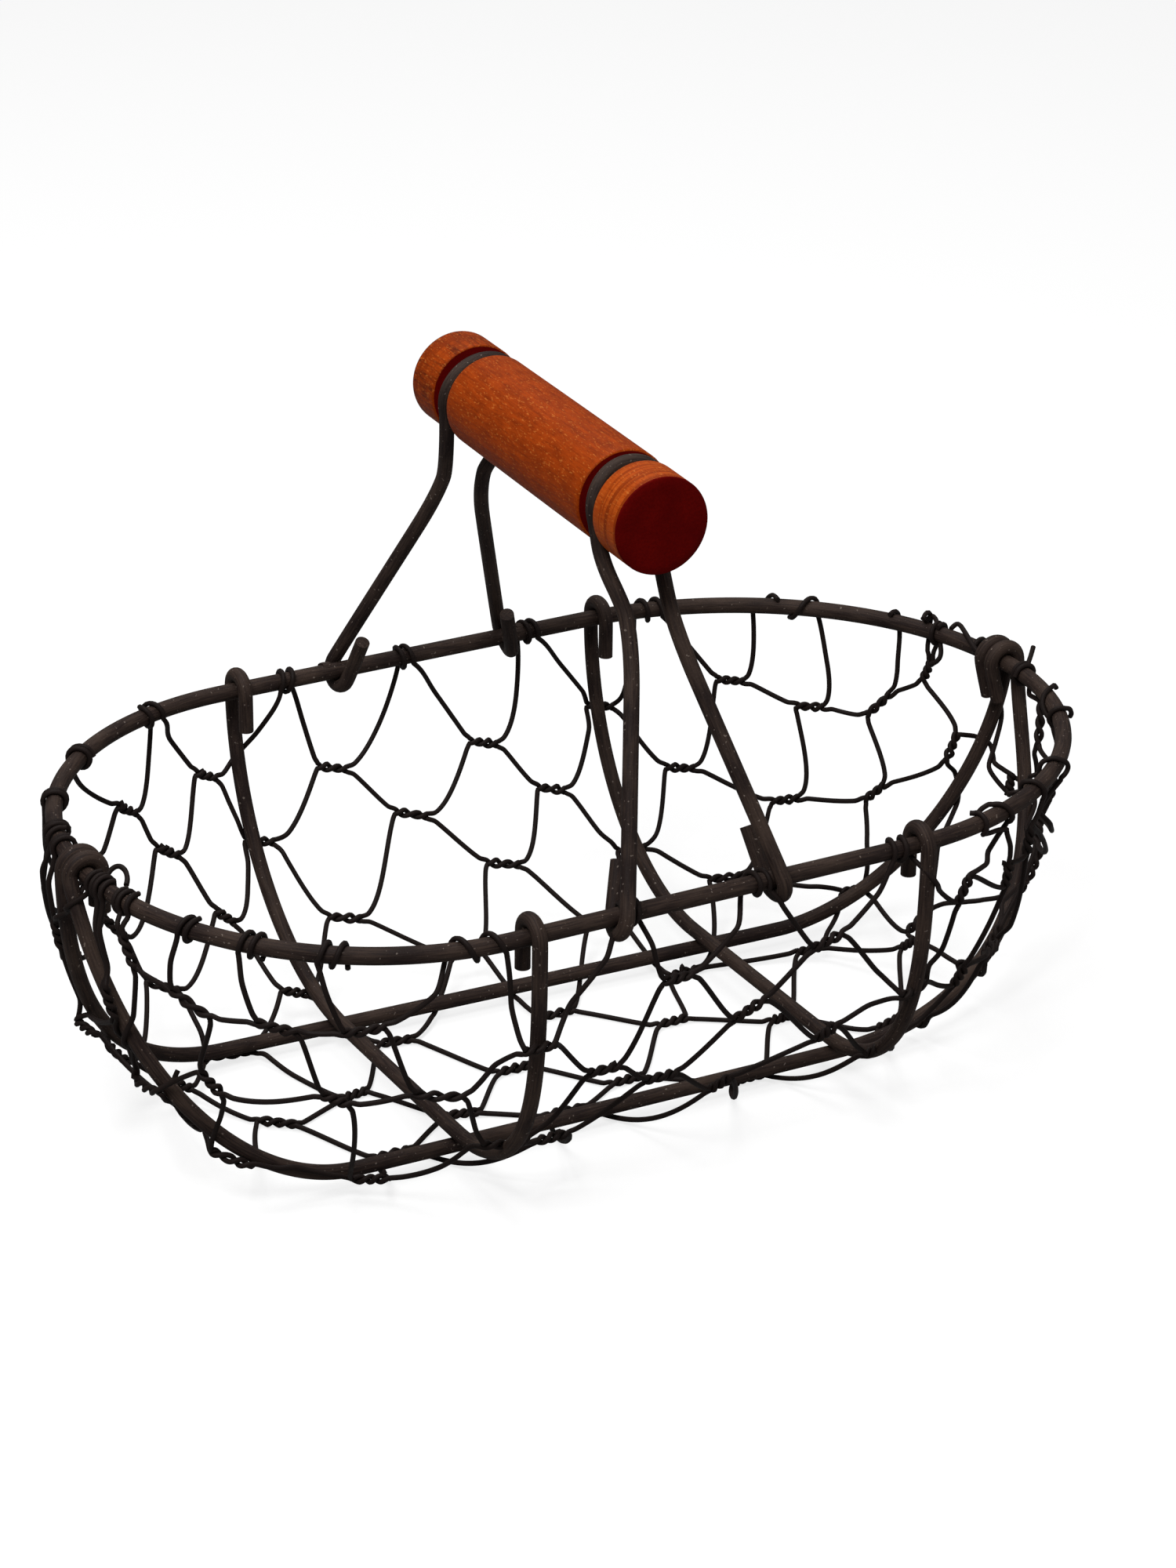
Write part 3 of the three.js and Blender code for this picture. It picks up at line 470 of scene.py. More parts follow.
class Lines:
    """The sizes, and the centre lines of the frame wires."""

    def __init__(self, scene):
        groups = {"": scene.basket_frame, "grip_": scene.basket_grip, "net_": scene.basket_netting}
        for prefix, group in groups.items():
            for key in group.__annotations__:
                value = getattr(group, key)
                setattr(self, prefix + key, value / MM if isinstance(value, float) else value)
        self.rim_r = self.rim_wire / 2
        self.frame_r = self.frame_wire / 2
        self.net_r = self.net_wire / 2 + self.net_coat
        self.hook_r = self.rim_r + self.frame_r + HOOK_GAP
        over_net = NET_TO_GROUND + NET_ROOM + self.net_wire / 2
        self.stringer_z = over_net + CROSSING_GAP + self.frame_r
        self.rim_z = self.stringer_z + self.frame_wire + CROSSING_GAP + self.rib_drop
        self.grip_z = self.rim_z + self.grip_height
        self.rim_half = self.rim_width / 2
        self.middle = (self.left_end - self.right_end) / 2
        self.straight_left = self.middle - self.rim_straight / 2
        self.straight_right = self.middle + self.rim_straight / 2
        left, right = (self.straight_left, self.left_end), (self.straight_right, self.right_end)
        self.ends = {-1: left, 1: right}
        yaw = radians(GRIP_YAW)
        self.grip_axis = vec(sin(yaw), cos(yaw), 0)
        self.grip_centre = vec(self.middle + GRIP_PLACE, 0, self.grip_z)
        self.grip_centre += self.grip_axis * GRIP_ALONG

    def rim(self):
        # It starts between the right-hand hooks, where its closing is hidden
        points = []
        for way, first, last in ((1, 0, 1), (-1, 1, 3), (1, -1, 0)):
            middle, depth = self.ends[way]
            for a in np.linspace(first, last, 60 * (last - first)) * pi / 2:
                x, y = middle + depth * cos(a), self.rim_half * sin(a)
                points.append(vec(x, y, self.rim_z))
        return evenly(np.array(points), RIM_STEP)[:-1]

    def hook_over(self, centre, tail):
        r = self.hook_r
        turn = [(centre + r * cos(a), r * sin(a)) for a in HOOK_TURNS]
        return [(centre - r, -tail)] + turn

    def corner(self, centre, reach, drop, turn=1.0):
        for i in range(1, CORNER_STEPS + 1):
            a = i / CORNER_STEPS * pi / 2
            inwards = reach * (1 - cos(a)) ** turn
            yield centre + self.hook_r - inwards, -drop * sin(a)

    def rib(self, place, corner_back, turn_front):
        x = self.middle + place
        past = max(way * (x - straight) / depth for way, (straight, depth) in self.ends.items())
        edge = self.rim_half * sqrt(1 - max(0, past) ** 2)
        hook = self.hook_over(edge, RIB_TAIL)
        back = [*hook, *self.corner(edge, corner_back, self.rib_drop)]
        front = [*hook, *self.corner(edge, RIB_CORNER_FRONT, self.rib_drop, turn_front)]
        line = [vec(x, s, self.rim_z + h) for s, h in back]
        return line + [vec(x, -s, self.rim_z + h) for s, h in reversed(front)]

    def stringer_end(self, side, way):
        run_y, reach, splay, turn = STRINGER_BENDS[side, way]
        drop = self.rim_z - self.stringer_z
        y = STRINGER_HOOKS_Y[way] + side * (self.frame_r + STRINGER_APART)
        straight, depth = self.ends[way]
        centre = abs(straight + way * depth * sqrt(1 - (y / self.rim_half) ** 2))
        hook = self.hook_over(centre, STRINGER_TAIL)
        hook[0] = (hook[0][0] + TAIL_BACK[way], hook[0][1])
        line = [vec(way * s, y, self.rim_z + h) for s, h in hook]
        for s, h in self.corner(centre, reach, drop, turn):
            line.append(vec(way * s, y + (run_y - y) * (-h / drop) ** splay, self.rim_z + h))
        return line

    def stringer(self, side):
        return self.stringer_end(side, -1) + self.stringer_end(side, 1)[::-1]

    def bail(self, side):
        half = self.grip_groove_spacing / 2 + LOOP_SHIFTS[side]
        groove = self.grip_centre + self.grip_axis * side * half
        tilt = radians(BAIL_TILT)
        rise = vec(0, -side * sin(tilt), cos(tilt))

        def on_loop(a, b):
            return groove + vec(a, 0, 0) + rise * b

        def leg(way):
            place, throat_half, neck_half, tail, tail_lean, _ = BAIL_LEGS[side, way]
            throat = on_loop(way * throat_half, -THROAT_DROP)
            rim_point = vec(self.middle + place, side * self.rim_half, self.rim_z)
            offset = (throat - rim_point) * vec(0, 1, 1)
            lean = atan2(offset[2], side * offset[1])
            lean -= acos(self.hook_r / np.linalg.norm(offset))
            outward = vec(0, side * cos(lean), sin(lean))
            upward = vec(0, -side * sin(lean), cos(lean))
            foot = rim_point + outward * self.hook_r

            def on_leg(drop):
                point = foot + upward * (self.grip_z - drop - foot[2]) / upward[2]
                return vec(groove[0] + way * neck_half, point[1], point[2])

            neck, shoulder = on_leg(NECK_DROP), on_leg(SHOULDER_DROP)
            climb = shoulder - foot
            along = climb / (climb @ upward)
            turns = [outward * cos(a) - along * sin(a) for a in HOOK_TURNS]
            hook = [rim_point + self.hook_r * turn for turn in turns]
            line = [hook[0] + along * tail + vec(tail_lean, 0, 0), *hook]
            start = shoulder - climb * SHOULDER_BEND
            for t in np.linspace(0, 1, 5):
                line.append(start * (1 - t) ** 2 + shoulder * 2 * t * (1 - t) + neck * t**2)
            return line + [throat]

        loop_r = (self.grip_groove_diameter / 2 + LOOP_GAP + self.frame_r) / cos(tilt)
        first, last = (asin(BAIL_LEGS[side, way][1] / loop_r) for way in (1, -1))
        angles = np.linspace(first, 2 * pi - last, 24)[1:-1] - pi / 2
        loop = [on_loop(loop_r * cos(a), loop_r * sin(a)) for a in angles]
        return leg(1) + loop + leg(-1)[::-1]

    def beads(self, side):
        """Weld beads on the rim beside the bail's hooks."""
        for way in (-1, 1):
            x = self.middle + BAIL_LEGS[side, way][0] + BAIL_LEGS[side, way][-1] - BEAD_LENGTH / 2
            start = vec(x, side * (self.rim_half + BEAD_OUT), self.rim_z + BEAD_UP)
            places = (0, 0.7, 1.5, BEAD_LENGTH)
            yield np.array([start + vec(t, 0.15 * sin(3 * t), 0) for t in places])


class Netting(Lines):
    """The sheet of netting: u along the basket and v across it as it was woven."""

    def __init__(self, scene):
        super().__init__(scene)
        ribs = (self.rib_left, "left"), (self.rib_right, "right")
        wires = [self.rib(place, *RIB_BENDS[name]) for place, name in ribs]
        wires += [make(side) for make in (self.stringer, self.bail) for side in (1, -1)]
        wires = [evenly(rounded(wire, 2), 3) for wire in wires]
        self.starts = np.vstack([wire[:-1] for wire in wires])
        self.spans = np.vstack([np.diff(wire, axis=0) for wire in wires])
        self.squares = (self.spans**2).sum(1)

    # Shape of the bowl

    def slope(self, direction):
        """The bowl's slope in one direction: how far out, how high and how long it is."""
        c, s = cos(direction), sin(direction)
        end = 1 if c > 0 else -1
        depth = self.ends[end][1] + BOWL_PROUD_ENDS[end]
        reach = 1 / hypot(c / depth, s / (self.rim_half + BOWL_PROUD))
        lean = min(reach, BOWL_ENDS[end] * c * c + (BOWL_BACK if s > 0 else BOWL_FRONT) * s * s)
        a = np.linspace(0, pi / 2, 37)
        out = reach - lean + lean * np.sin(a)
        z = self.rim_z - (self.rim_z - NET_TO_GROUND) * np.cos(a)
        return out, z, reach - lean + distances(np.column_stack([out, z]))

    def polar(self, u, v):
        base = min(max(u, self.straight_left), self.straight_right)
        return base, hypot(u - base, v), atan2(v, u - base)

    def on_bowl(self, u, v):
        base, reach, direction = self.polar(u, v)
        out, z, along = self.slope(direction)
        if reach > along[0]:
            reach = min(reach, along[-1])
            reach, z = np.interp(reach, along, out), [np.interp(reach, along, z)]
        return vec(base + reach * cos(direction), reach * sin(direction), z[0])

    def wire_distances(self, points, near=slice(None)):
        """From each point to each of the near pieces of the frame wires."""
        spans = self.spans[near]
        offset = points[:, None] - self.starts[near]
        share = np.clip((offset * spans).sum(2) / self.squares[near], 0, 1)
        return np.linalg.norm(offset - spans * share[..., None], axis=2)

    def sheet(self, u, v, thickness):
        """A place on the sheet, the way out of the bowl there, and its lift over a frame wire."""
        d = SHEET_STEP
        along_u = unit(self.on_bowl(u + d, v) - self.on_bowl(u - d, v))
        along_v = unit(self.on_bowl(u, v + d) - self.on_bowl(u, v - d))
        out = unit(np.cross(along_v, along_u))
        point = self.on_bowl(u, v)
        clear = self.frame_r + RIDE_GAP + thickness
        near = self.wire_distances(point[None])[0] < RIDE_LIMIT + clear
        lift = 0.0
        if near.any():
            heights = np.arange(0, RIDE_LIMIT, RIDE_STEP)
            gaps = self.wire_distances(point + heights[:, None] * out, near).min(1)
            touching = np.nonzero(gaps < clear)[0]
            if len(touching):
                lift = heights[touching[-1]] + RIDE_STEP
        return point, out, lift

    # Twists

    def pulled(self, start, pixel):
        """The place on the sheet near the start that the camera sees at a pixel."""

        def error(place):
            point, out, lift = self.sheet(*place, self.net_r * 2)
            return VIEW.pixel(point + out * lift) - pixel

        place, best, least = start, start, 1e9
        for _ in range(PULL_TRIES):
            off = error(place)
            if np.linalg.norm(off) < least:
                best, least = place, np.linalg.norm(off)
            if least < PULL_CLOSE or np.linalg.norm(place - start) > PULL_FAR:
                break
            slope = np.column_stack([error(place + step) - off for step in ((1, 0), (0, 1))])
            move = np.linalg.lstsq(slope, -off, rcond=0.05)[0]
            place = place + move * min(1, PULL_STEP / max(np.linalg.norm(move), 1e-9)) * PULL_SHARE
        return best

    def room(self, place):
        """From a place on the sheet to its edge."""
        _, reach, direction = self.polar(*place)
        return self.slope(direction)[2][-1] - reach

    def row_twists(self, row):
        """A row's twists: pinned where the photograph shows them, or else in the even lattice."""
        pitch = self.net_twist_pitch
        half = np.array([self.net_twist_length / 2, 0])
        first = EVEN_ROWS_AT - ROW_DRIFTS[row] * pitch - row % 2 * pitch / 2
        v = FIRST_ROW - (row - ROW_SHIFTS[row]) * self.net_row_pitch
        for column in COLUMNS:
            middle = np.array([first + column * pitch, v])
            pixels, pins = TWIST_PIXELS[row].get(column, ()), ()
            if len(pixels) == 4:
                pins = ((0, pixels[:2]), (-1, pixels[2:]))
                left = self.pulled(middle - half, pixels[:2])
                right = self.pulled(middle + half, pixels[2:])
            else:
                if pixels:
                    pins = ((4, pixels), (4, pixels))
                    middle = self.pulled(middle, pixels)
                else:
                    chance = 12.9 * row + 7.3 * column * (row + 2)
                    stray = np.array([sin(1 + chance), 0.6 * sin(4 + chance)])
                    middle = middle + HAND_WORK * stray
                left, right = middle - half, middle + half
                if not pixels and min(self.room(left), self.room(right)) < TWIST_TO_RIM:
                    continue
            yield {
                "left": left, "right": right, "pins": pins, "row": row, "column": column,
                "u": (left[0] + right[0]) / 2,
            }

    def twist_path(self, stop, upper):
        """One wire's turns in a twist: drawn tight in one place, with an eyelet left in another.
        The upper wire leaves as the lower one, as one and a half turns cross them over."""
        chance = random.Random(stop["row"] * 100 + stop["column"])
        eye = chance.choice(EYELETS)
        swell = chance.uniform(*SWELLS)
        squeeze = chance.uniform(-SQUEEZE, SQUEEZE)
        left, right = stop["left"], stop["right"]
        cut = np.linspace(0, 1, 9)
        flats = [left * (1 - s) + right * s for s in cut]
        points, outs, lifts = zip(*(self.sheet(u, v, self.net_r * 2) for u, v in flats))
        lift, outs = max(lifts), np.array(outs)
        points = np.array(points) + outs * lift
        lifts = (lift, lift)
        slacks = [VIEW.slack(points[index], pixel) for index, pixel in stop["pins"]]
        if slacks:
            points += cut[:, None] * slacks[1] + (1 - cut[:, None]) * slacks[0]
            lifts = (max(0, lift + slacks[0] @ outs[0]), max(0, lift + slacks[1] @ outs[-1]))
        points[:, 2] = np.maximum(points[:, 2], self.net_r * TWIST_LOWEST)
        axis = unit(points[-1] - points[0])
        s = np.linspace(0, 1, TWIST_POINTS)
        points, outs = between(s, cut, points), unit(between(s, cut, outs))
        sides = unit(np.cross(axis, outs))
        a = pi * self.net_turns * (s + squeeze * np.sin(2 * pi * s))
        a = a[:, None] + (0 if upper else pi)
        eyelet = swell * np.exp(-(((s - eye) / EYELET_WIDTH) ** 2))[:, None]
        radius = self.net_r * (TWIST_TIGHT + eyelet)
        lean = unit(right - left) * TWIST_LEANS[stop["row"] >= BACK_ROWS]
        slackest = max((np.linalg.norm(slack) for slack in slacks), default=0)
        return {
            "points": points + radius * (sides * np.cos(a) + outs * np.sin(a)),
            "lifts": lifts, "flats": (left, right), "leans": (lean, lean),
            "blend": TWIST_BLEND + SLACK_BLEND * slackest,
        }

    # Lashings

    def rim_at(self, x, y):
        """The rim beside a point, and the way out of the basket there."""
        base, _, direction = self.polar(x, y)
        c, s = cos(direction), sin(direction)
        depth = self.ends[1 if c > 0 else -1][1]
        reach = 1 / hypot(c / depth, s / self.rim_half)
        centre = vec(base + reach * c, reach * s, self.rim_z)
        outward = unit(vec(c / depth**2, s / self.rim_half**2, 0))
        return {"base": base, "direction": direction, "centre": centre, "outward": outward}

    def lashing_stop(self, x, y, turns=0, advance=0, loose=0, shifted=0):
        stop = self.rim_at(*VIEW.at_height((x, y), self.rim_z)[:2])
        reach = self.slope(stop["direction"])[2][-1]
        return {
            **stop, "u": stop["base"] + reach * cos(stop["direction"]), "turns": turns,
            "advance": advance, "loose": loose, "shifted": shifted,
            "drawn": DRAWN_LASHINGS.get((x, y)),
        }

    def at_pixels(self, pixels):
        """A smooth line through pixels with heights above the rim's centre."""
        line = [VIEW.at_height((x, y), self.rim_z + height) for x, y, height in pixels]
        return evenly(rounded(line), 0.5)

    def clear_of_rim(self, line):
        clear = self.rim_r + self.net_r * LASH_TIGHT
        for point in line:
            centre = self.rim_at(point[0], point[1])["centre"]
            offset = point - centre
            far = np.linalg.norm(offset)
            most = clear + DRAWN_SLACK if offset[2] > DRAWN_LOWEST else far
            yield centre + offset * max(clear, min(far, most)) / far

    def wraps(self, stop, chance, ends, along):
        """Turns round the rim. A wire's end is cut off beside them."""
        first, last = LASH_FROM, 360 * stop["turns"] + LASH_TO
        if ends:
            last += chance.choice(LASH_ENDS)
        count = max(10, int((last - first) / LASH_STEP))
        flip = chance.random() < LASH_FLIPS and not ends
        skew = chance.uniform(-LASH_SKEW, LASH_SKEW)
        path = []
        for share in np.linspace(0, 1, count + 1):
            angle = radians(first + (1 - share if flip else share) * (last - first))
            radius = self.rim_r + self.net_r * LASH_TIGHT + LASH_WAVE * sin(3 * angle + skew)
            radius += stop["loose"] * max(0, sin(angle)) ** 2
            out = stop["outward"] * cos(angle) + vec(0, 0, sin(angle))
            shift = stop["advance"] * (last - first) / 360 * (share - 0.5)
            shift += skew * sin(angle) + stop["shifted"] * max(0, 1 - share * 4) ** 2
            path.append(stop["centre"] + out * radius + along * shift)
        if ends:
            offset = path[-1] - stop["centre"]
            tail = unit(path[-1] - path[-2]) + unit(offset - along * (offset @ along)) * CUT_LIFT
            path += [path[-1] + tail * reach for reach in CUT_TAIL]
        return path[::-1] if ends < 0 else path

    def lashing_path(self, stop, chance, ends):
        """Turns of the netting's wire round the rim. They start outside the rim and leave inside
        it, or the other way, and go on along the rim as the strand does."""
        outward, drawn = stop["outward"], stop["drawn"]
        along = vec(outward[1], -outward[0], 0) * (-1 if outward[1] <= -SIDEWAYS else 1)
        if drawn:
            path = list(self.clear_of_rim(self.at_pixels(drawn)))
        else:
            path = self.wraps(stop, chance, ends, along)
        flats, ways = [], []
        for point, depth in zip((path[0], path[-1]), LASH_DEPTHS):
            near = self.rim_at(point[0], point[1])
            depth = max(depth, self.rim_z - point[2] if drawn else 0)
            way = np.array([cos(near["direction"]), sin(near["direction"])])
            reach = self.slope(near["direction"])[2][-1] - depth
            flats.append(np.array([near["base"], 0]) + way * reach)
            ways.append(way)
        leans = [way * lean for way, lean in zip(ways, LASH_LEANS)]
        blend = BACK_BLEND if stop["centre"][1] > BACK_FROM else LASH_BLEND
        points = np.array(path)
        return {"points": points, "lifts": (0, 0), "flats": flats, "leans": leans, "blend": blend}

    def above_ground(self, line):
        return np.maximum(line, (-1000, -1000, self.net_r * WIRE_LOWEST))

    def loose_wires(self, bits, spots, pixels):
        """Cut ends that stand out of the nearest wire, and curls."""
        for bit in bits:
            if len(bit[0]) == 3:
                yield self.at_pixels(bit)
                continue
            index = np.argmin(((pixels - bit[0]) ** 2).sum(1))
            if np.linalg.norm(pixels[index] - bit[0]) > LOOSE_REACH:
                continue
            line = []
            for pixel in bit:
                ray = VIEW.ray(pixels[index] + (np.array(pixel) - bit[0]) * LOOSE_SHARE)
                far = (spots[index] - VIEW.place) @ VIEW.forward / (ray @ VIEW.forward)
                line.append(VIEW.place + ray * far)
            yield self.above_ground(evenly(rounded(line), 0.5))

    # Wires

    def strand_stops(self, rows):
        """The stops that each strand of the lattice passes, from left to right."""
        edges = [[self.lashing_stop(*lashing) for lashing in edge] for edge in EDGE_LASHINGS]
        for edge, row in zip(edges, (rows[0], rows[-1])):
            row[:] = [twist for twist in row if edge[0]["u"] < twist["u"] < edge[-1]["u"]]
        belts = [edges[0], *rows, edges[1]]
        strands = [sorted(a + b, key=lambda stop: stop["u"]) for a, b in zip(belts, belts[1:])]
        for strand, (left, right) in zip(strands[1:-1], END_LASHINGS):
            strand.insert(0, self.lashing_stop(*left))
            strand.append(self.lashing_stop(*right))
        return strands

    def routes(self, rows):
        """The stops of each wire. It goes on with the other strand behind every twist."""
        strands = self.strand_stops(rows)
        for strand in range(len(strands)):
            index, route = 0, []
            while index < len(strands[strand]):
                stop = strands[strand][index]
                upper = stop.get("row") == strand
                route.append((stop, upper))
                if "row" in stop:
                    strand = stop["row"] + 1 if upper else stop["row"]
                    index = next(i for i, other in enumerate(strands[strand]) if other is stop)
                index += 1
            yield route

    def leg(self, start, end, chance):
        """A leg between two stops, bowed a little, that climbs over the frame wires."""
        a, b = start["flats"][1], end["flats"][0]
        reach = max(np.linalg.norm(b - a), 1e-6)
        straight = (b - a) / reach
        across = np.abs(straight[::-1]) * reach
        bow = across * (1, -1) * chance.uniform(-LEG_STRAY, LEG_STRAY)
        if straight[0] * straight[1] > 0 and a[1] + b[1] > BACK_WALL:
            bow += across * (1, -1) * BACK_BOW
        elif a[1] + b[1] > UNDER_RIM:
            bow += across * RIM_BOW
        c0 = a + unit(straight + start["leans"][1]) * reach * LEG_LEAN + bow
        c1 = b - unit(straight + end["leans"][0]) * reach * LEG_LEAN + bow
        count = max(6, int(reach / WIRE_STEP))
        t = np.linspace(0, 1, count + 1)[:, None]
        flat = a * (1 - t) ** 3 + 3 * t * (1 - t) * (c0 * (1 - t) + c1 * t) + b * t**3
        places = zip(*(self.sheet(u, v, self.net_r) for u, v in flat))
        points, outs, lifts = (np.array(rows) for rows in places)
        lifts[0], lifts[-1] = max(lifts[0], start["lifts"][1]), max(lifts[-1], end["lifts"][0])
        steps = np.arange(count + 1)
        fall = RIDE_SLOPE * reach / count
        eased = (lifts - fall * np.abs(steps[:, None] - steps)).max(1)
        smooth = np.convolve(np.pad(eased, 2, "edge"), np.array([1, 2, 3, 2, 1]) / 9, "valid")
        points += outs * np.maximum(smooth, 0)[:, None]
        along = distances(points)
        for pin, index, away, blend in (
            (start["points"][-1], 0, along, start["blend"]),
            (end["points"][0], -1, along[-1] - along, end["blend"]),
        ):
            share = np.clip(1 - away / min(blend, along[-1] / 2), 0, 1)
            points += (pin - points[index]) * (share * share * (3 - 2 * share))[:, None]
        return points[1:-1]

    def wire(self, route, seed):
        chance = random.Random(self.net_seed * 50 + seed)
        parts, before = [], None
        for i, (stop, upper) in enumerate(route):
            if "row" in stop:
                part = self.twist_path(stop, upper)
            else:
                part = self.lashing_path(stop, chance, (i == len(route) - 1) - (i == 0))
            if before:
                parts.append(self.leg(before, part, chance))
            parts.append(part["points"])
            before = part
        return self.above_ground(np.vstack(parts))


# Nodes

MATH, RANGE, MIX = "ShaderNodeMath", "ShaderNodeMapRange", "ShaderNodeMix"
NOISE, MAPPING = "ShaderNodeTexNoise", "ShaderNodeMapping"
WIRE_TREE = "Wire along a line"


def add(tree, kind, inputs=(), **settings):
    """Adds a node. Settings are its properties. Inputs are its sockets' values or links to them,
    in their order or by their names or numbers. A node stands for its first output."""
    made = tree.nodes.new(kind)
    for key, value in settings.items():
        setattr(made, key, value)
    for key, value in inputs.items() if isinstance(inputs, dict) else enumerate(inputs):
        if isinstance(value, bpy.types.Node):
            value = value.outputs[0]
        if isinstance(value, bpy.types.NodeSocket):
            tree.links.new(value, made.inputs[key])
        else:
            made.inputs[key].default_value = value
    return made


def wire_tree():
    """Geometry Nodes that draw a round wire along a line of edges. The wire's own space, with X
    along it and Y and Z across it, is kept as an attribute for its paint."""
    tree = bpy.data.node_groups.new(WIRE_TREE, "GeometryNodeTree")
    node = partial(add, tree)
    for name, kind in (
        ("Geometry", "Geometry"), ("Wire radius", "Float"), ("Sides", "Int"), ("Worn end", "Float"),
        ("Unevenness", "Float"), ("Seed", "Float"), ("Finish", "Material"),
    ):
        tree.interface.new_socket(name, in_out="INPUT", socket_type="NodeSocket" + kind)
    tree.interface.new_socket("Geometry", in_out="OUTPUT", socket_type="NodeSocketGeometry")
    given = node("NodeGroupInput").outputs
    line = node("GeometryNodeMeshToCurve", {"Mesh": given["Geometry"]})
    place = node("GeometryNodeSplineParameter").outputs["Length"]
    whole = node("GeometryNodeSplineLength").outputs["Length"]
    rest = node(MATH, [whole, place], operation="SUBTRACT")
    nearest = node(MATH, [rest, place], operation="MINIMUM")
    # A wire's cut end is worn rounder over a short stretch
    ends = [nearest, 0.0, given["Worn end"], 0.72, 1.0]
    worn = node(RANGE, ends, interpolation_type="SMOOTHERSTEP")
    hammer = node(NOISE, {"W": given["Seed"], "Scale": 220.0, "Detail": 2.0}, noise_dimensions="4D")
    uneven = node(MATH, [hammer, 0.5], operation="SUBTRACT")
    scaled = node(MATH, [uneven, given["Unevenness"], 1.0], operation="MULTIPLY_ADD")
    radius = node(MATH, [scaled, worn], operation="MULTIPLY")
    sized = node("GeometryNodeSetCurveRadius", {"Curve": line, "Radius": radius})
    along = node("GeometryNodeCaptureAttribute", {"Geometry": sized}, domain="POINT")
    along.capture_items.new("FLOAT", "Along")
    tree.links.new(place, along.inputs["Along"])
    size = {"Resolution": given["Sides"], "Radius": given["Wire radius"]}
    ring = node("GeometryNodeCurvePrimitiveCircle", size)
    across = node("GeometryNodeCaptureAttribute", {"Geometry": ring}, domain="POINT")
    across.capture_items.new("VECTOR", "Across")
    tree.links.new(node("GeometryNodeInputPosition").outputs[0], across.inputs["Across"])
    curves = {"Curve": along, "Profile Curve": across, "Fill Caps": True}
    tube = node("GeometryNodeCurveToMesh", curves)
    parts = node("ShaderNodeSeparateXYZ", [across.outputs["Across"]]).outputs
    own = node("ShaderNodeCombineXYZ", [along.outputs["Along"], parts[0], parts[1]])
    kept = node(
        "GeometryNodeStoreNamedAttribute", {"Geometry": tube, "Name": "wire_space", "Value": own},
        data_type="FLOAT_VECTOR", domain="POINT",
    )
    smooth = node("GeometryNodeSetShadeSmooth", {"Geometry": kept})
    real = node("GeometryNodeRealizeInstances", {"Geometry": smooth})
    painted = node("GeometryNodeSetMaterial", {"Geometry": real, "Material": given["Finish"]})
    node("NodeGroupOutput", {"Geometry": painted}).is_active_output = True
    return tree


def new_object(name, data):
    made = bpy.data.objects.new(name, data)
    bpy.context.scene.collection.objects.link(made)
    return made


def wire_piece(name, lines, radius, finish, sides, seed=0.0, closed=False, worn=0.8, uneven=0.03):
    """A piece of round wires along lines in millimetres, as a plain mesh."""
    vertices, edges = [], []
    for line in lines:
        first, last = len(vertices), len(vertices) + len(line) - 1
        vertices += [tuple(p * MM) for p in line]
        edges += [(i, i + 1) for i in range(first, last)] + [(last, first)] * closed
    mesh = bpy.data.meshes.new(name + "_line")
    mesh.from_pydata(vertices, edges, [])
    carrier = new_object(name + "_line", mesh)
    modifier = carrier.modifiers.new("Wire", "NODES")
    modifier.node_group = bpy.data.node_groups.get(WIRE_TREE) or wire_tree()
    values = {
        "Wire radius": radius * MM, "Sides": sides, "Worn end": 1e-9 if closed else worn * MM,
        "Unevenness": uneven, "Seed": seed, "Finish": finish,
    }
    for socket in modifier.node_group.interface.items_tree:
        if socket.in_out == "INPUT" and socket.name in values:
            modifier[socket.identifier] = values[socket.name]
    carrier.update_tag()
    bpy.context.view_layer.update()
    evaluated = carrier.evaluated_get(bpy.context.evaluated_depsgraph_get())
    made = bpy.data.meshes.new_from_object(evaluated)
    made.name = name
    bpy.data.objects.remove(carrier)
    return new_object(name, made)


# Materials

FRAME_PAINT = "Matte brown paint on drawn steel"
NET_PAINT = "Black-brown paint on annealed wire"
DUST = linear("#8a7d74")
WOOD_DUST = linear("#c4702f")
RED_RINGS = linear("#650603")


def new_tree(data):
    data.use_nodes = True
    data.node_tree.nodes.clear()
    return data.node_tree


def layered(tree, base, *layers):
    """Colours laid over a base. Each has a pattern, its values where the colour starts and where
    it is at its most, and that most."""
    for pattern, start, full, most, over in layers:
        share = add(tree, RANGE, [pattern, start, full, 0.0, most])
        base = add(tree, MIX, {0: share, 6: base, 7: (*over, 1)}, data_type="RGBA").outputs[2]
    return base


def surface(tree, base, rough, relief, strength, depth, ior, specular):
    """The rest of a finish. Its roughness is a number, or follows a pattern from one to another."""
    if isinstance(rough, tuple):
        pattern, smoother, rougher = rough
        rough = add(tree, RANGE, [pattern, 0.3, 0.7, smoother, rougher])
    bump = {"Strength": strength, "Distance": depth * MM, "Height": relief}
    shader = {
        "Base Color": base, "Roughness": rough, "Normal": add(tree, "ShaderNodeBump", bump),
        "IOR": ior, "Specular IOR Level": specular,
    }
    shown = add(tree, "ShaderNodeBsdfPrincipled", shader)
    add(tree, "ShaderNodeOutputMaterial", {"Surface": shown})


def wire_spaces(tree, scale):
    """The wire's own space, stretched along the wire, and the object's."""
    own = add(tree, "ShaderNodeAttribute", attribute_name="wire_space").outputs["Vector"]
    stretched = add(tree, MAPPING, {"Vector": own, "Scale": scale})
    return stretched, add(tree, "ShaderNodeTexCoord").outputs["Object"]


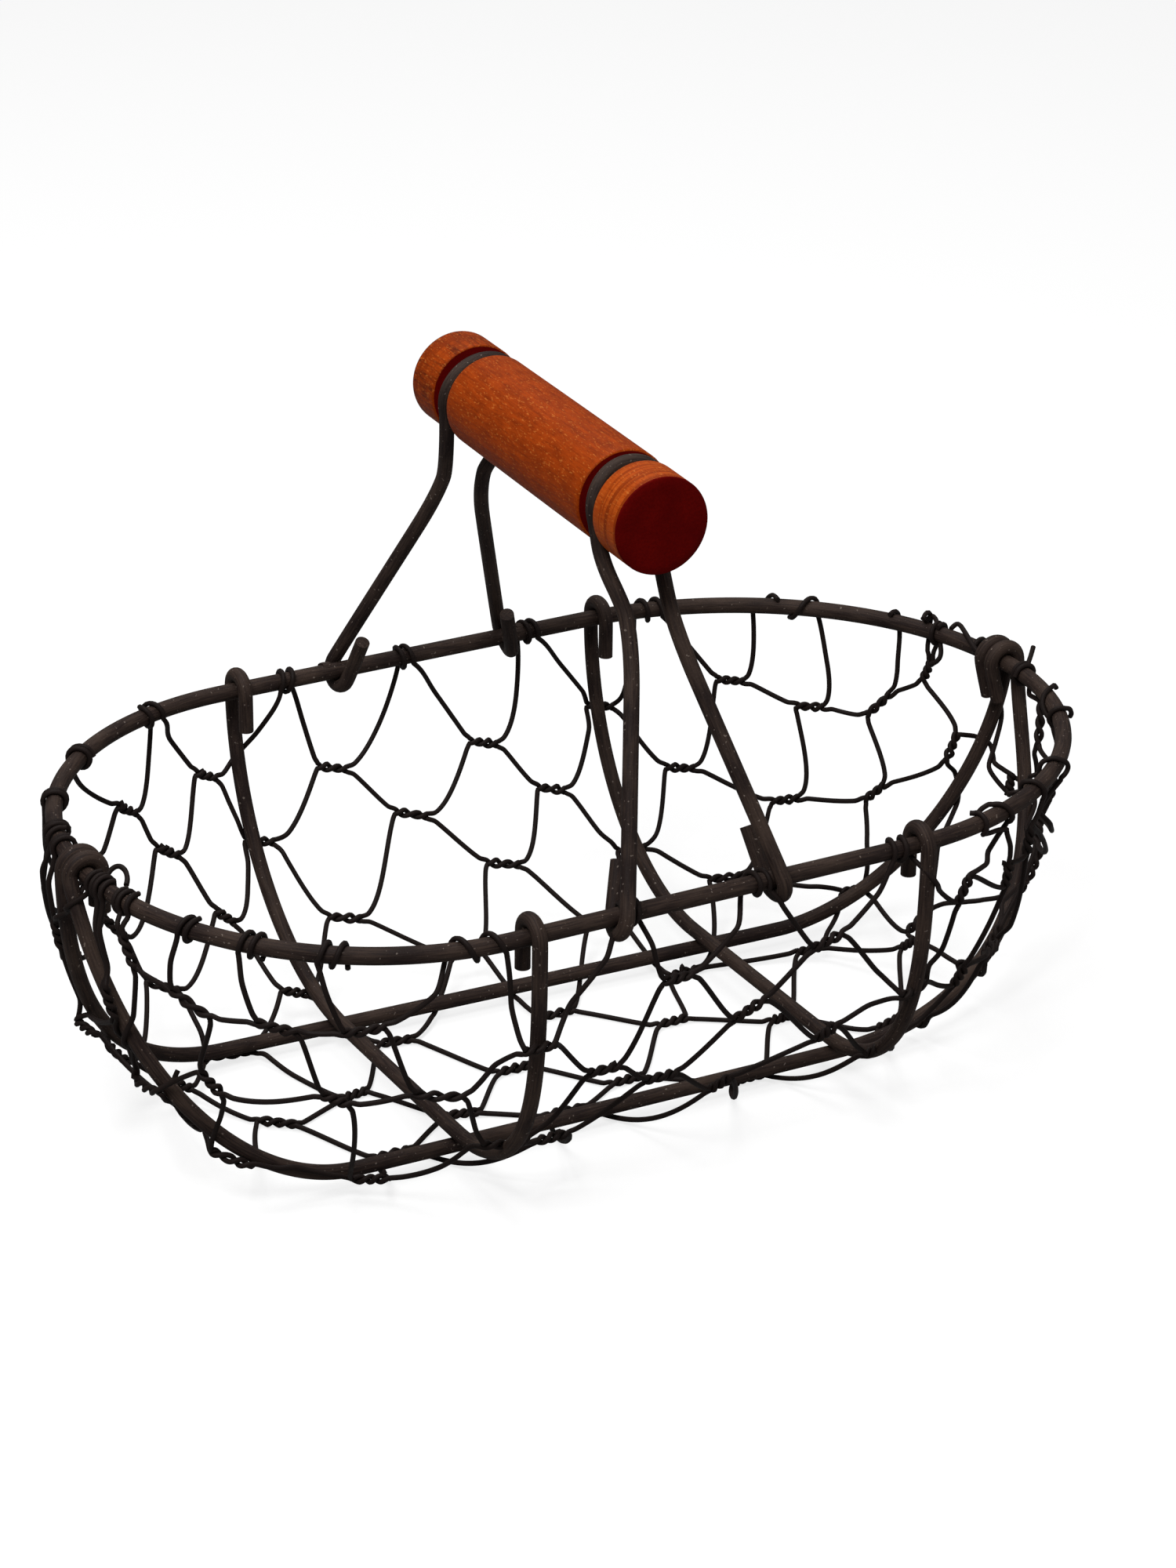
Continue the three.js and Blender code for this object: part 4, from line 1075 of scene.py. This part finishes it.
def painted_wire(tree, colours):
    """Matte oil paint on drawn steel: the paint is flat and dark, streaked along the wire where the
    drawing marks show through, lighter in patches that are partly rubbed paint and partly painted
    highlight, and dusted with pale specks."""
    node = partial(add, tree)
    # Streaks 7 mm long and 0.45 mm wide, drawn a little coarser than the real ones to show
    own, spot = wire_spaces(tree, (140, 2200, 2200))
    streaks = node(NOISE, {"Vector": own, "Scale": 1.0, "Detail": 3.0, "Roughness": 0.6})
    patches = node(NOISE, {"Vector": spot, "Scale": 60.0, "Detail": 2.0})
    grain = node(NOISE, {"Vector": spot, "Scale": 1500.0, "Detail": 2.0})
    specks = node(NOISE, {"Vector": spot, "Scale": 1300.0, "Detail": 0.0})
    wear = node(MIX, {0: 0.45, 2: streaks, 3: patches}, data_type="FLOAT")
    # The lighter patches along the streaks are partly rubbed paint and partly painted highlight;
    # the pale specks are dust
    rubbed_and_highlight, dusty = (wear, 0.42, 0.62, 0.9, colours.paint_worn), (specks, 0.77, 0.82, 0.5, DUST)
    base = layered(tree, (*colours.paint, 1), rubbed_and_highlight, dusty)
    relief = node(MATH, [streaks, grain], operation="ADD")
    surface(tree, base, (streaks, 0.55, 0.72), relief, 0.5, 0.2, 1.45, 0.12)


def netting_wire(tree, colours):
    """The same paint on thin annealed wire: near black, with a soft sheen along each wire and
    browner where the wires rub in their twists."""
    node = partial(add, tree)
    # Streaks 4 mm long and 0.4 mm wide
    own, spot = wire_spaces(tree, (260, 2600, 2600))
    streaks = node(NOISE, {"Vector": own, "Scale": 1.0, "Detail": 2.0})
    patches = node(NOISE, {"Vector": spot, "Scale": 45.0, "Detail": 2.0})
    wear = node(MATH, [streaks, patches], operation="MULTIPLY")
    base = layered(tree, (*colours.netting, 1), (wear, 0.2, 0.42, 0.6, colours.paint))
    surface(tree, base, (streaks, 0.5, 0.66), streaks, 0.35, 0.1, 1.45, 0.1)


def grip_space(tree, lines):
    """Object coordinates turned so that Y runs along the grip's axis from its middle."""
    spot = add(tree, "ShaderNodeTexCoord").outputs["Object"]
    centre = tuple(-lines.grip_centre * MM)
    moved = add(tree, "ShaderNodeVectorMath", [spot, centre], operation="ADD")
    turn = (0, 0, radians(GRIP_YAW))
    return add(tree, MAPPING, {"Vector": moved, "Rotation": turn})


def stained_wood(tree, colours, lines, low, high, rings):
    """Beech stained orange-brown and sanded: fine grain and short dark pores run along the
    dowel, and the tool has left faint rings round the collars."""
    node = partial(add, tree)
    own = grip_space(tree, lines)
    # Grain 0.9 mm wide and 9 mm long, pores 0.4 by 3 mm, rings 1.3 mm apart, specks 0.4 by 1.4 mm
    patterns = []
    for scale, look in (
        ((1100, 110, 1100), {"Detail": 4.0, "Roughness": 0.7}),
        ((2500, 330, 2500), {"Detail": 1.0}), ((25, 750, 25), {"Detail": 2.0}),
        ((2300, 700, 2300), {"Detail": 1.0}),
    ):
        stretched = node(MAPPING, {"Vector": own, "Scale": scale})
        patterns.append(node(NOISE, {"Vector": stretched, "Scale": 1.0, **look}))
    grain, pores, turned, specks = patterns
    cloud = node(NOISE, {"Vector": own, "Scale": 160.0, "Detail": 4.0})
    tone = node(MIX, {0: 0.3, 2: grain, 3: cloud}, data_type="FLOAT")
    base = layered(
        tree, (*low, 1), (tone, 0.38, 0.6, 1.0, high), (pores, 0.62, 0.72, 0.7, colours.wood_dark),
        (turned, 0.5, 0.64, rings, colours.wood_dark), (specks, 0.6, 0.74, 0.6, WOOD_DUST),
    )
    relief = node(MATH, [pores, -1.0, 1.0], operation="MULTIPLY_ADD")
    surface(tree, base, (grain, 0.5, 0.62), relief, 0.25, 0.2, 1.5, 0.06)


def end_grain_wood(tree, colours, lines):
    """End grain drinks the stain: very dark red, matte, with faint growth rings."""
    node = partial(add, tree)
    own = grip_space(tree, lines)
    fibres = node(NOISE, {"Vector": own, "Scale": 1600.0, "Detail": 3.0})
    cloud = node(NOISE, {"Vector": own, "Scale": 120.0, "Detail": 2.0})
    tone = node(MATH, [fibres, cloud], operation="MULTIPLY")
    base = layered(tree, (*colours.end_grain, 1), (tone, 0.15, 0.4, 0.8, RED_RINGS))
    surface(tree, base, 0.7, fibres, 0.3, 0.2, 1.45, 0.03)


def material(name, maker, *details):
    """The material of that name, made the first time that it is asked for."""
    made = bpy.data.materials.get(name)
    if not made:
        made = bpy.data.materials.new(name)
        maker(new_tree(made), bpy.context.scene.basket_finish, *details)
    return made


def place_piece(piece, body, node):
    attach(piece, body)
    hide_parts(node)


def frame_piece(name, node, parts, radius, sides=20, **look):
    """A piece of the frame's wires, painted and placed."""
    piece = wire_piece(name, parts, radius, material(FRAME_PAINT, painted_wire), sides, **look)
    place_piece(piece, "frame", node)


def bent(line):
    return evenly(rounded(line), WIRE_STEP)


# Operators


class BASKET_OT_rim(bpy.types.Operator):
    """The oblong ring of thick wire that everything hangs from"""

    bl_idname = "basket.rim"
    bl_label = "Rim"

    def execute(self, context):
        lines = Lines(context.scene)
        look = {"sides": 22, "closed": True, "uneven": 0.035}
        frame_piece("rim_wire", "rim", [lines.rim()], lines.rim_r, **look)
        return {"FINISHED"}


class BASKET_OT_ribs(bpy.types.Operator):
    """The two ribs across the basket, hooked over the rim"""

    bl_idname = "basket.ribs"
    bl_label = "Cross ribs"

    def execute(self, context):
        lines = Lines(context.scene)
        for name, place, seed in (("left", lines.rib_left, 3.0), ("right", lines.rib_right, 4.0)):
            parts = [bent(lines.rib(place, *RIB_BENDS[name]))]
            frame_piece(f"rib_wire_{name}", f"cross_rib_{name}", parts, lines.frame_r, seed=seed)
        return {"FINISHED"}


class BASKET_OT_stringers(bpy.types.Operator):
    """The two long wires under the floor, hooked over the rim's ends"""

    bl_idname = "basket.stringers"
    bl_label = "Stringers"

    def execute(self, context):
        lines = Lines(context.scene)
        for name, side in (("back", 1), ("front", -1)):
            names = f"stringer_wire_{name}", f"stringer_{name}"
            frame_piece(*names, [bent(lines.stringer(side))], lines.frame_r, seed=7.0 + side)
        return {"FINISHED"}


class BASKET_OT_bails(bpy.types.Operator):
    """The two bails that hook under the rim and close round the grip"""

    bl_idname = "basket.bails"
    bl_label = "Bails"

    def execute(self, context):
        lines = Lines(context.scene)
        for name, side in (("back", 1), ("front", -1)):
            parts, seed = [bent(lines.bail(side)), *lines.beads(side)], 12.0 + side
            frame_piece(f"bail_wire_{name}", f"bail_{name}", parts, lines.frame_r, seed=seed)
        return {"FINISHED"}


class BASKET_OT_grip(bpy.types.Operator):
    """The grip, turned from a dowel, with a groove for each bail"""

    bl_idname = "basket.grip"
    bl_label = "Grip"

    def execute(self, context):
        lines = Lines(context.scene)
        stains = context.scene.basket_finish
        finishes = [
            material("Stained beech, " + name, stained_wood, lines, low, high, rings)
            for name, low, high, rings in (
                ("sanded", stains.wood_dark, stains.wood, 0.1),
                ("turned", stains.wood, stains.wood_light, 0.85),
                # The far collar is a darker copy of the turned collar's finish: painted shade
                ("dark collar", stains.wood_deep, stains.wood, 0.85),
            )
        ]
        finishes.insert(2, material("Stained beech, end grain", end_grain_wood, lines))
        sanded, turned, end_grain, dark = range(len(finishes))
        r, end = lines.grip_diameter / 2, lines.grip_length / 2
        floor = lines.grip_groove_diameter / 2
        near = lines.grip_groove_spacing / 2 - lines.grip_groove_width / 2
        far = near + lines.grip_groove_width
        # Radius and place along the axis, after the finish of the stretches up to there
        stretches = (
            (sanded, (r, 0.0), (r, near - 0.5), (r - 0.15, near - 0.15), (r - 0.5, near)),
            (end_grain, (floor + 0.5, near + 0.1), (floor, near + 0.6), (floor, far - 0.6)),
            (end_grain, (floor + 0.5, far - 0.1), (r - 0.4, far)),
            (turned, (r - 0.1, far + 0.15), (r, far + 0.5), (r, end - 0.5)),
            (end_grain, (r - 0.08, end - 0.2), (r - 0.35, end), (0.0, end)),
        )
        half = [corner for _, *corners in stretches for corner in corners]
        marks = [mark for mark, *corners in stretches for _ in corners][1:]
        profile = [(a, -b) for a, b in half[::-1]] + half[1:]
        # The far half's collar takes the darker copy of the collar finish: painted shade
        marks = marks[::-1] + [dark if mark == turned else mark for mark in marks]
        rows, tags = [], []
        for (r0, y0), (r1, y1), mark in zip(profile, profile[1:], marks):
            steps = max(1, int(hypot(r1 - r0, y1 - y0) / GRIP_STEP))
            rows += [(r0 + (r1 - r0) * k / steps, y0 + (y1 - y0) * k / steps) for k in range(steps)]
            tags += [mark] * steps
        axis, upright = lines.grip_axis, vec(0, 0, 1)
        level = np.cross(axis, upright)
        a = np.linspace(0, 2 * pi, GRIP_SIDES + 1)[:-1, None]
        points = []
        for radius, y in rows[1:]:
            # The dowel is a little out of round
            radii = radius * (1 + 0.0025 * np.sin(2 * a + 0.05 * y))
            points.append(axis * y + radii * (level * np.cos(a) + upright * np.sin(a)))
        points = np.vstack([*points, axis * -end, axis * end]) + lines.grip_centre
        first, last = len(points) - 2, len(points) - 1
        base = first - GRIP_SIDES
        faces, tones = [], []
        for k in range(GRIP_SIDES):
            n = (k + 1) % GRIP_SIDES
            faces += [(first, n, k), (last, base + k, base + n)]
            tones += [tags[0], tags[-1]]
            for j, tag in zip(range(0, base, GRIP_SIDES), tags[1:]):
                faces.append((j + k, j + n, j + GRIP_SIDES + n, j + GRIP_SIDES + k))
                tones.append(tag)
        mesh = bpy.data.meshes.new("turned_grip")
        mesh.from_pydata((points * MM).tolist(), [], faces)
        for finish in finishes:
            mesh.materials.append(finish)
        mesh.polygons.foreach_set("material_index", tones)
        mesh.polygons.foreach_set("use_smooth", [True] * len(faces))
        mesh.update()
        place_piece(new_object("turned_grip", mesh), "grip", "grip")
        return {"FINISHED"}


class BASKET_OT_netting(bpy.types.Operator):
    """The thirteen wires of the hexagonal netting, twisted in pairs and lashed to the rim"""

    bl_idname = "basket.netting"
    bl_label = "Netting"

    def execute(self, context):
        net = Netting(context.scene)
        rows = [list(net.row_twists(row)) for row in range(len(ROW_SHIFTS))]
        paths = [net.wire(route, index) for index, route in enumerate(net.routes(rows))]
        spots = np.vstack(paths)
        pixels = np.array([VIEW.pixel(spot) for spot in spots])
        finish = material(NET_PAINT, netting_wire)
        look = {"sides": 8, "worn": 0.25, "uneven": 0.06}
        for index, path in enumerate(paths):
            parts = [path, *net.loose_wires(LOOSE_WIRES.get(index, ()), spots, pixels)]
            name = f"netting_wire_{index + 1:02d}"
            piece = wire_piece(name, parts, net.net_r, finish, seed=20.0 + index, **look)
            place_piece(piece, "frame", f"netting_strand_{index + 1:02d}")
        return {"FINISHED"}


class BASKET_OT_stage(bpy.types.Operator):
    """A plain pale floor, soft studio light and the camera at the photograph's angle"""

    bl_idname = "basket.stage"
    bl_label = "Stage"

    def execute(self, context):
        scene = context.scene
        mesh = bpy.data.meshes.new("floor")
        size = 3.0
        corners = [(-size, -size, 0), (size, -size, 0), (size, size, 0), (-size, size, 0)]
        mesh.from_pydata(corners, [], [(0, 1, 2, 3)])
        made = bpy.data.materials.new("Pale paper sweep")
        tree = new_tree(made)
        # The camera sees the floor as white as the photograph's ground, with the basket's shade
        seen = add(tree, "ShaderNodeLightPath").outputs["Is Camera Ray"]
        bounce = add(tree, RANGE, {0: seen, 3: 0.3, 4: 0.9})
        diffuse = add(tree, "ShaderNodeBsdfDiffuse", {"Color": bounce})
        glow = add(tree, "ShaderNodeEmission", {"Color": (1, 1, 1, 1), "Strength": 1.15})
        share = add(tree, MATH, [seen, 0.66], operation="MULTIPLY")
        mix = add(tree, "ShaderNodeMixShader", [share, diffuse, glow])
        add(tree, "ShaderNodeOutputMaterial", {"Surface": mix})
        mesh.materials.append(made)
        floor = new_object("floor", mesh)
        floor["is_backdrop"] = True

        scene.world = bpy.data.worlds.new("Studio")
        tree = new_tree(scene.world)
        seen = add(tree, "ShaderNodeLightPath").outputs["Is Camera Ray"]
        strength = add(tree, RANGE, {0: seen, 3: 0.22, 4: 1.0})
        white = {"Color": (1, 1, 1, 1), "Strength": strength}
        background = add(tree, "ShaderNodeBackground", white)
        add(tree, "ShaderNodeOutputWorld", {"Surface": background})

        for name, place, size, power in (
            ("key", (-0.55, -0.35, 1.1), 0.5, 9.5),
            ("fill", (0.7, -0.8, 0.5), 0.8, 1.6),
            ("top", (0.15, 0.5, 1.2), 0.7, 6.5),
        ):
            data = bpy.data.lights.new(name, "AREA")
            data.size, data.energy = size, power
            light = new_object(name, data)
            light.location = place
            light.rotation_mode = "QUATERNION"
            aim = Vector(vec(0, 0, 0.08) - place)
            light.rotation_quaternion = aim.to_track_quat("-Z", "Y")

        data = bpy.data.cameras.new("Photo camera")
        data.sensor_width = 36
        data.lens = FOCAL_PIXELS * data.sensor_width / max(PHOTO)
        data.clip_start, data.clip_end = 0.01, 20
        camera = new_object("Photo camera", data)
        turn = Matrix([VIEW.right, VIEW.up, -VIEW.forward]).transposed().to_4x4()
        camera.matrix_world = Matrix.Translation(VIEW.place * MM) @ turn
        scene.camera = camera
        scene.view_settings.view_transform = "Standard"
        return {"FINISHED"}


class BASKET_PT_panel(bpy.types.Panel):
    """Lists the basket's pieces and sizes"""

    bl_idname = "BASKET_PT_panel"
    bl_label = "Wire basket"
    bl_space_type = "VIEW_3D"
    bl_region_type = "UI"
    bl_category = "Basket"

    def draw(self, context):
        for operator in OPERATORS:
            self.layout.operator(operator.bl_idname)
        for name in GROUPS:
            group, box = getattr(context.scene, name), self.layout.box()
            for key in group.__annotations__:
                box.prop(group, key)


GROUPS = {
    "basket_frame": FrameSizes, "basket_grip": GripSizes, "basket_netting": NettingSizes,
    "basket_finish": Finishes,
}
OPERATORS = (
    BASKET_OT_stage, BASKET_OT_rim, BASKET_OT_ribs, BASKET_OT_stringers, BASKET_OT_bails,
    BASKET_OT_grip, BASKET_OT_netting,
)


def register():
    for cls in (*GROUPS.values(), *OPERATORS, BASKET_PT_panel):
        bpy.utils.register_class(cls)
    for name, cls in GROUPS.items():
        setattr(bpy.types.Scene, name, PointerProperty(type=cls))


def unregister():
    for name in GROUPS:
        delattr(bpy.types.Scene, name)
    for cls in (BASKET_PT_panel, *reversed(OPERATORS), *GROUPS.values()):
        bpy.utils.unregister_class(cls)


def main():
    register()
    for operator in OPERATORS:
        area, name = operator.bl_idname.split(".")
        getattr(getattr(bpy.ops, area), name)()
    boxes = {"cad": cad_box, "visual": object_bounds()}
    {key: [list(corner) for corner in box] for key, box in boxes.items()}


if __name__ == "__main__":
    main()
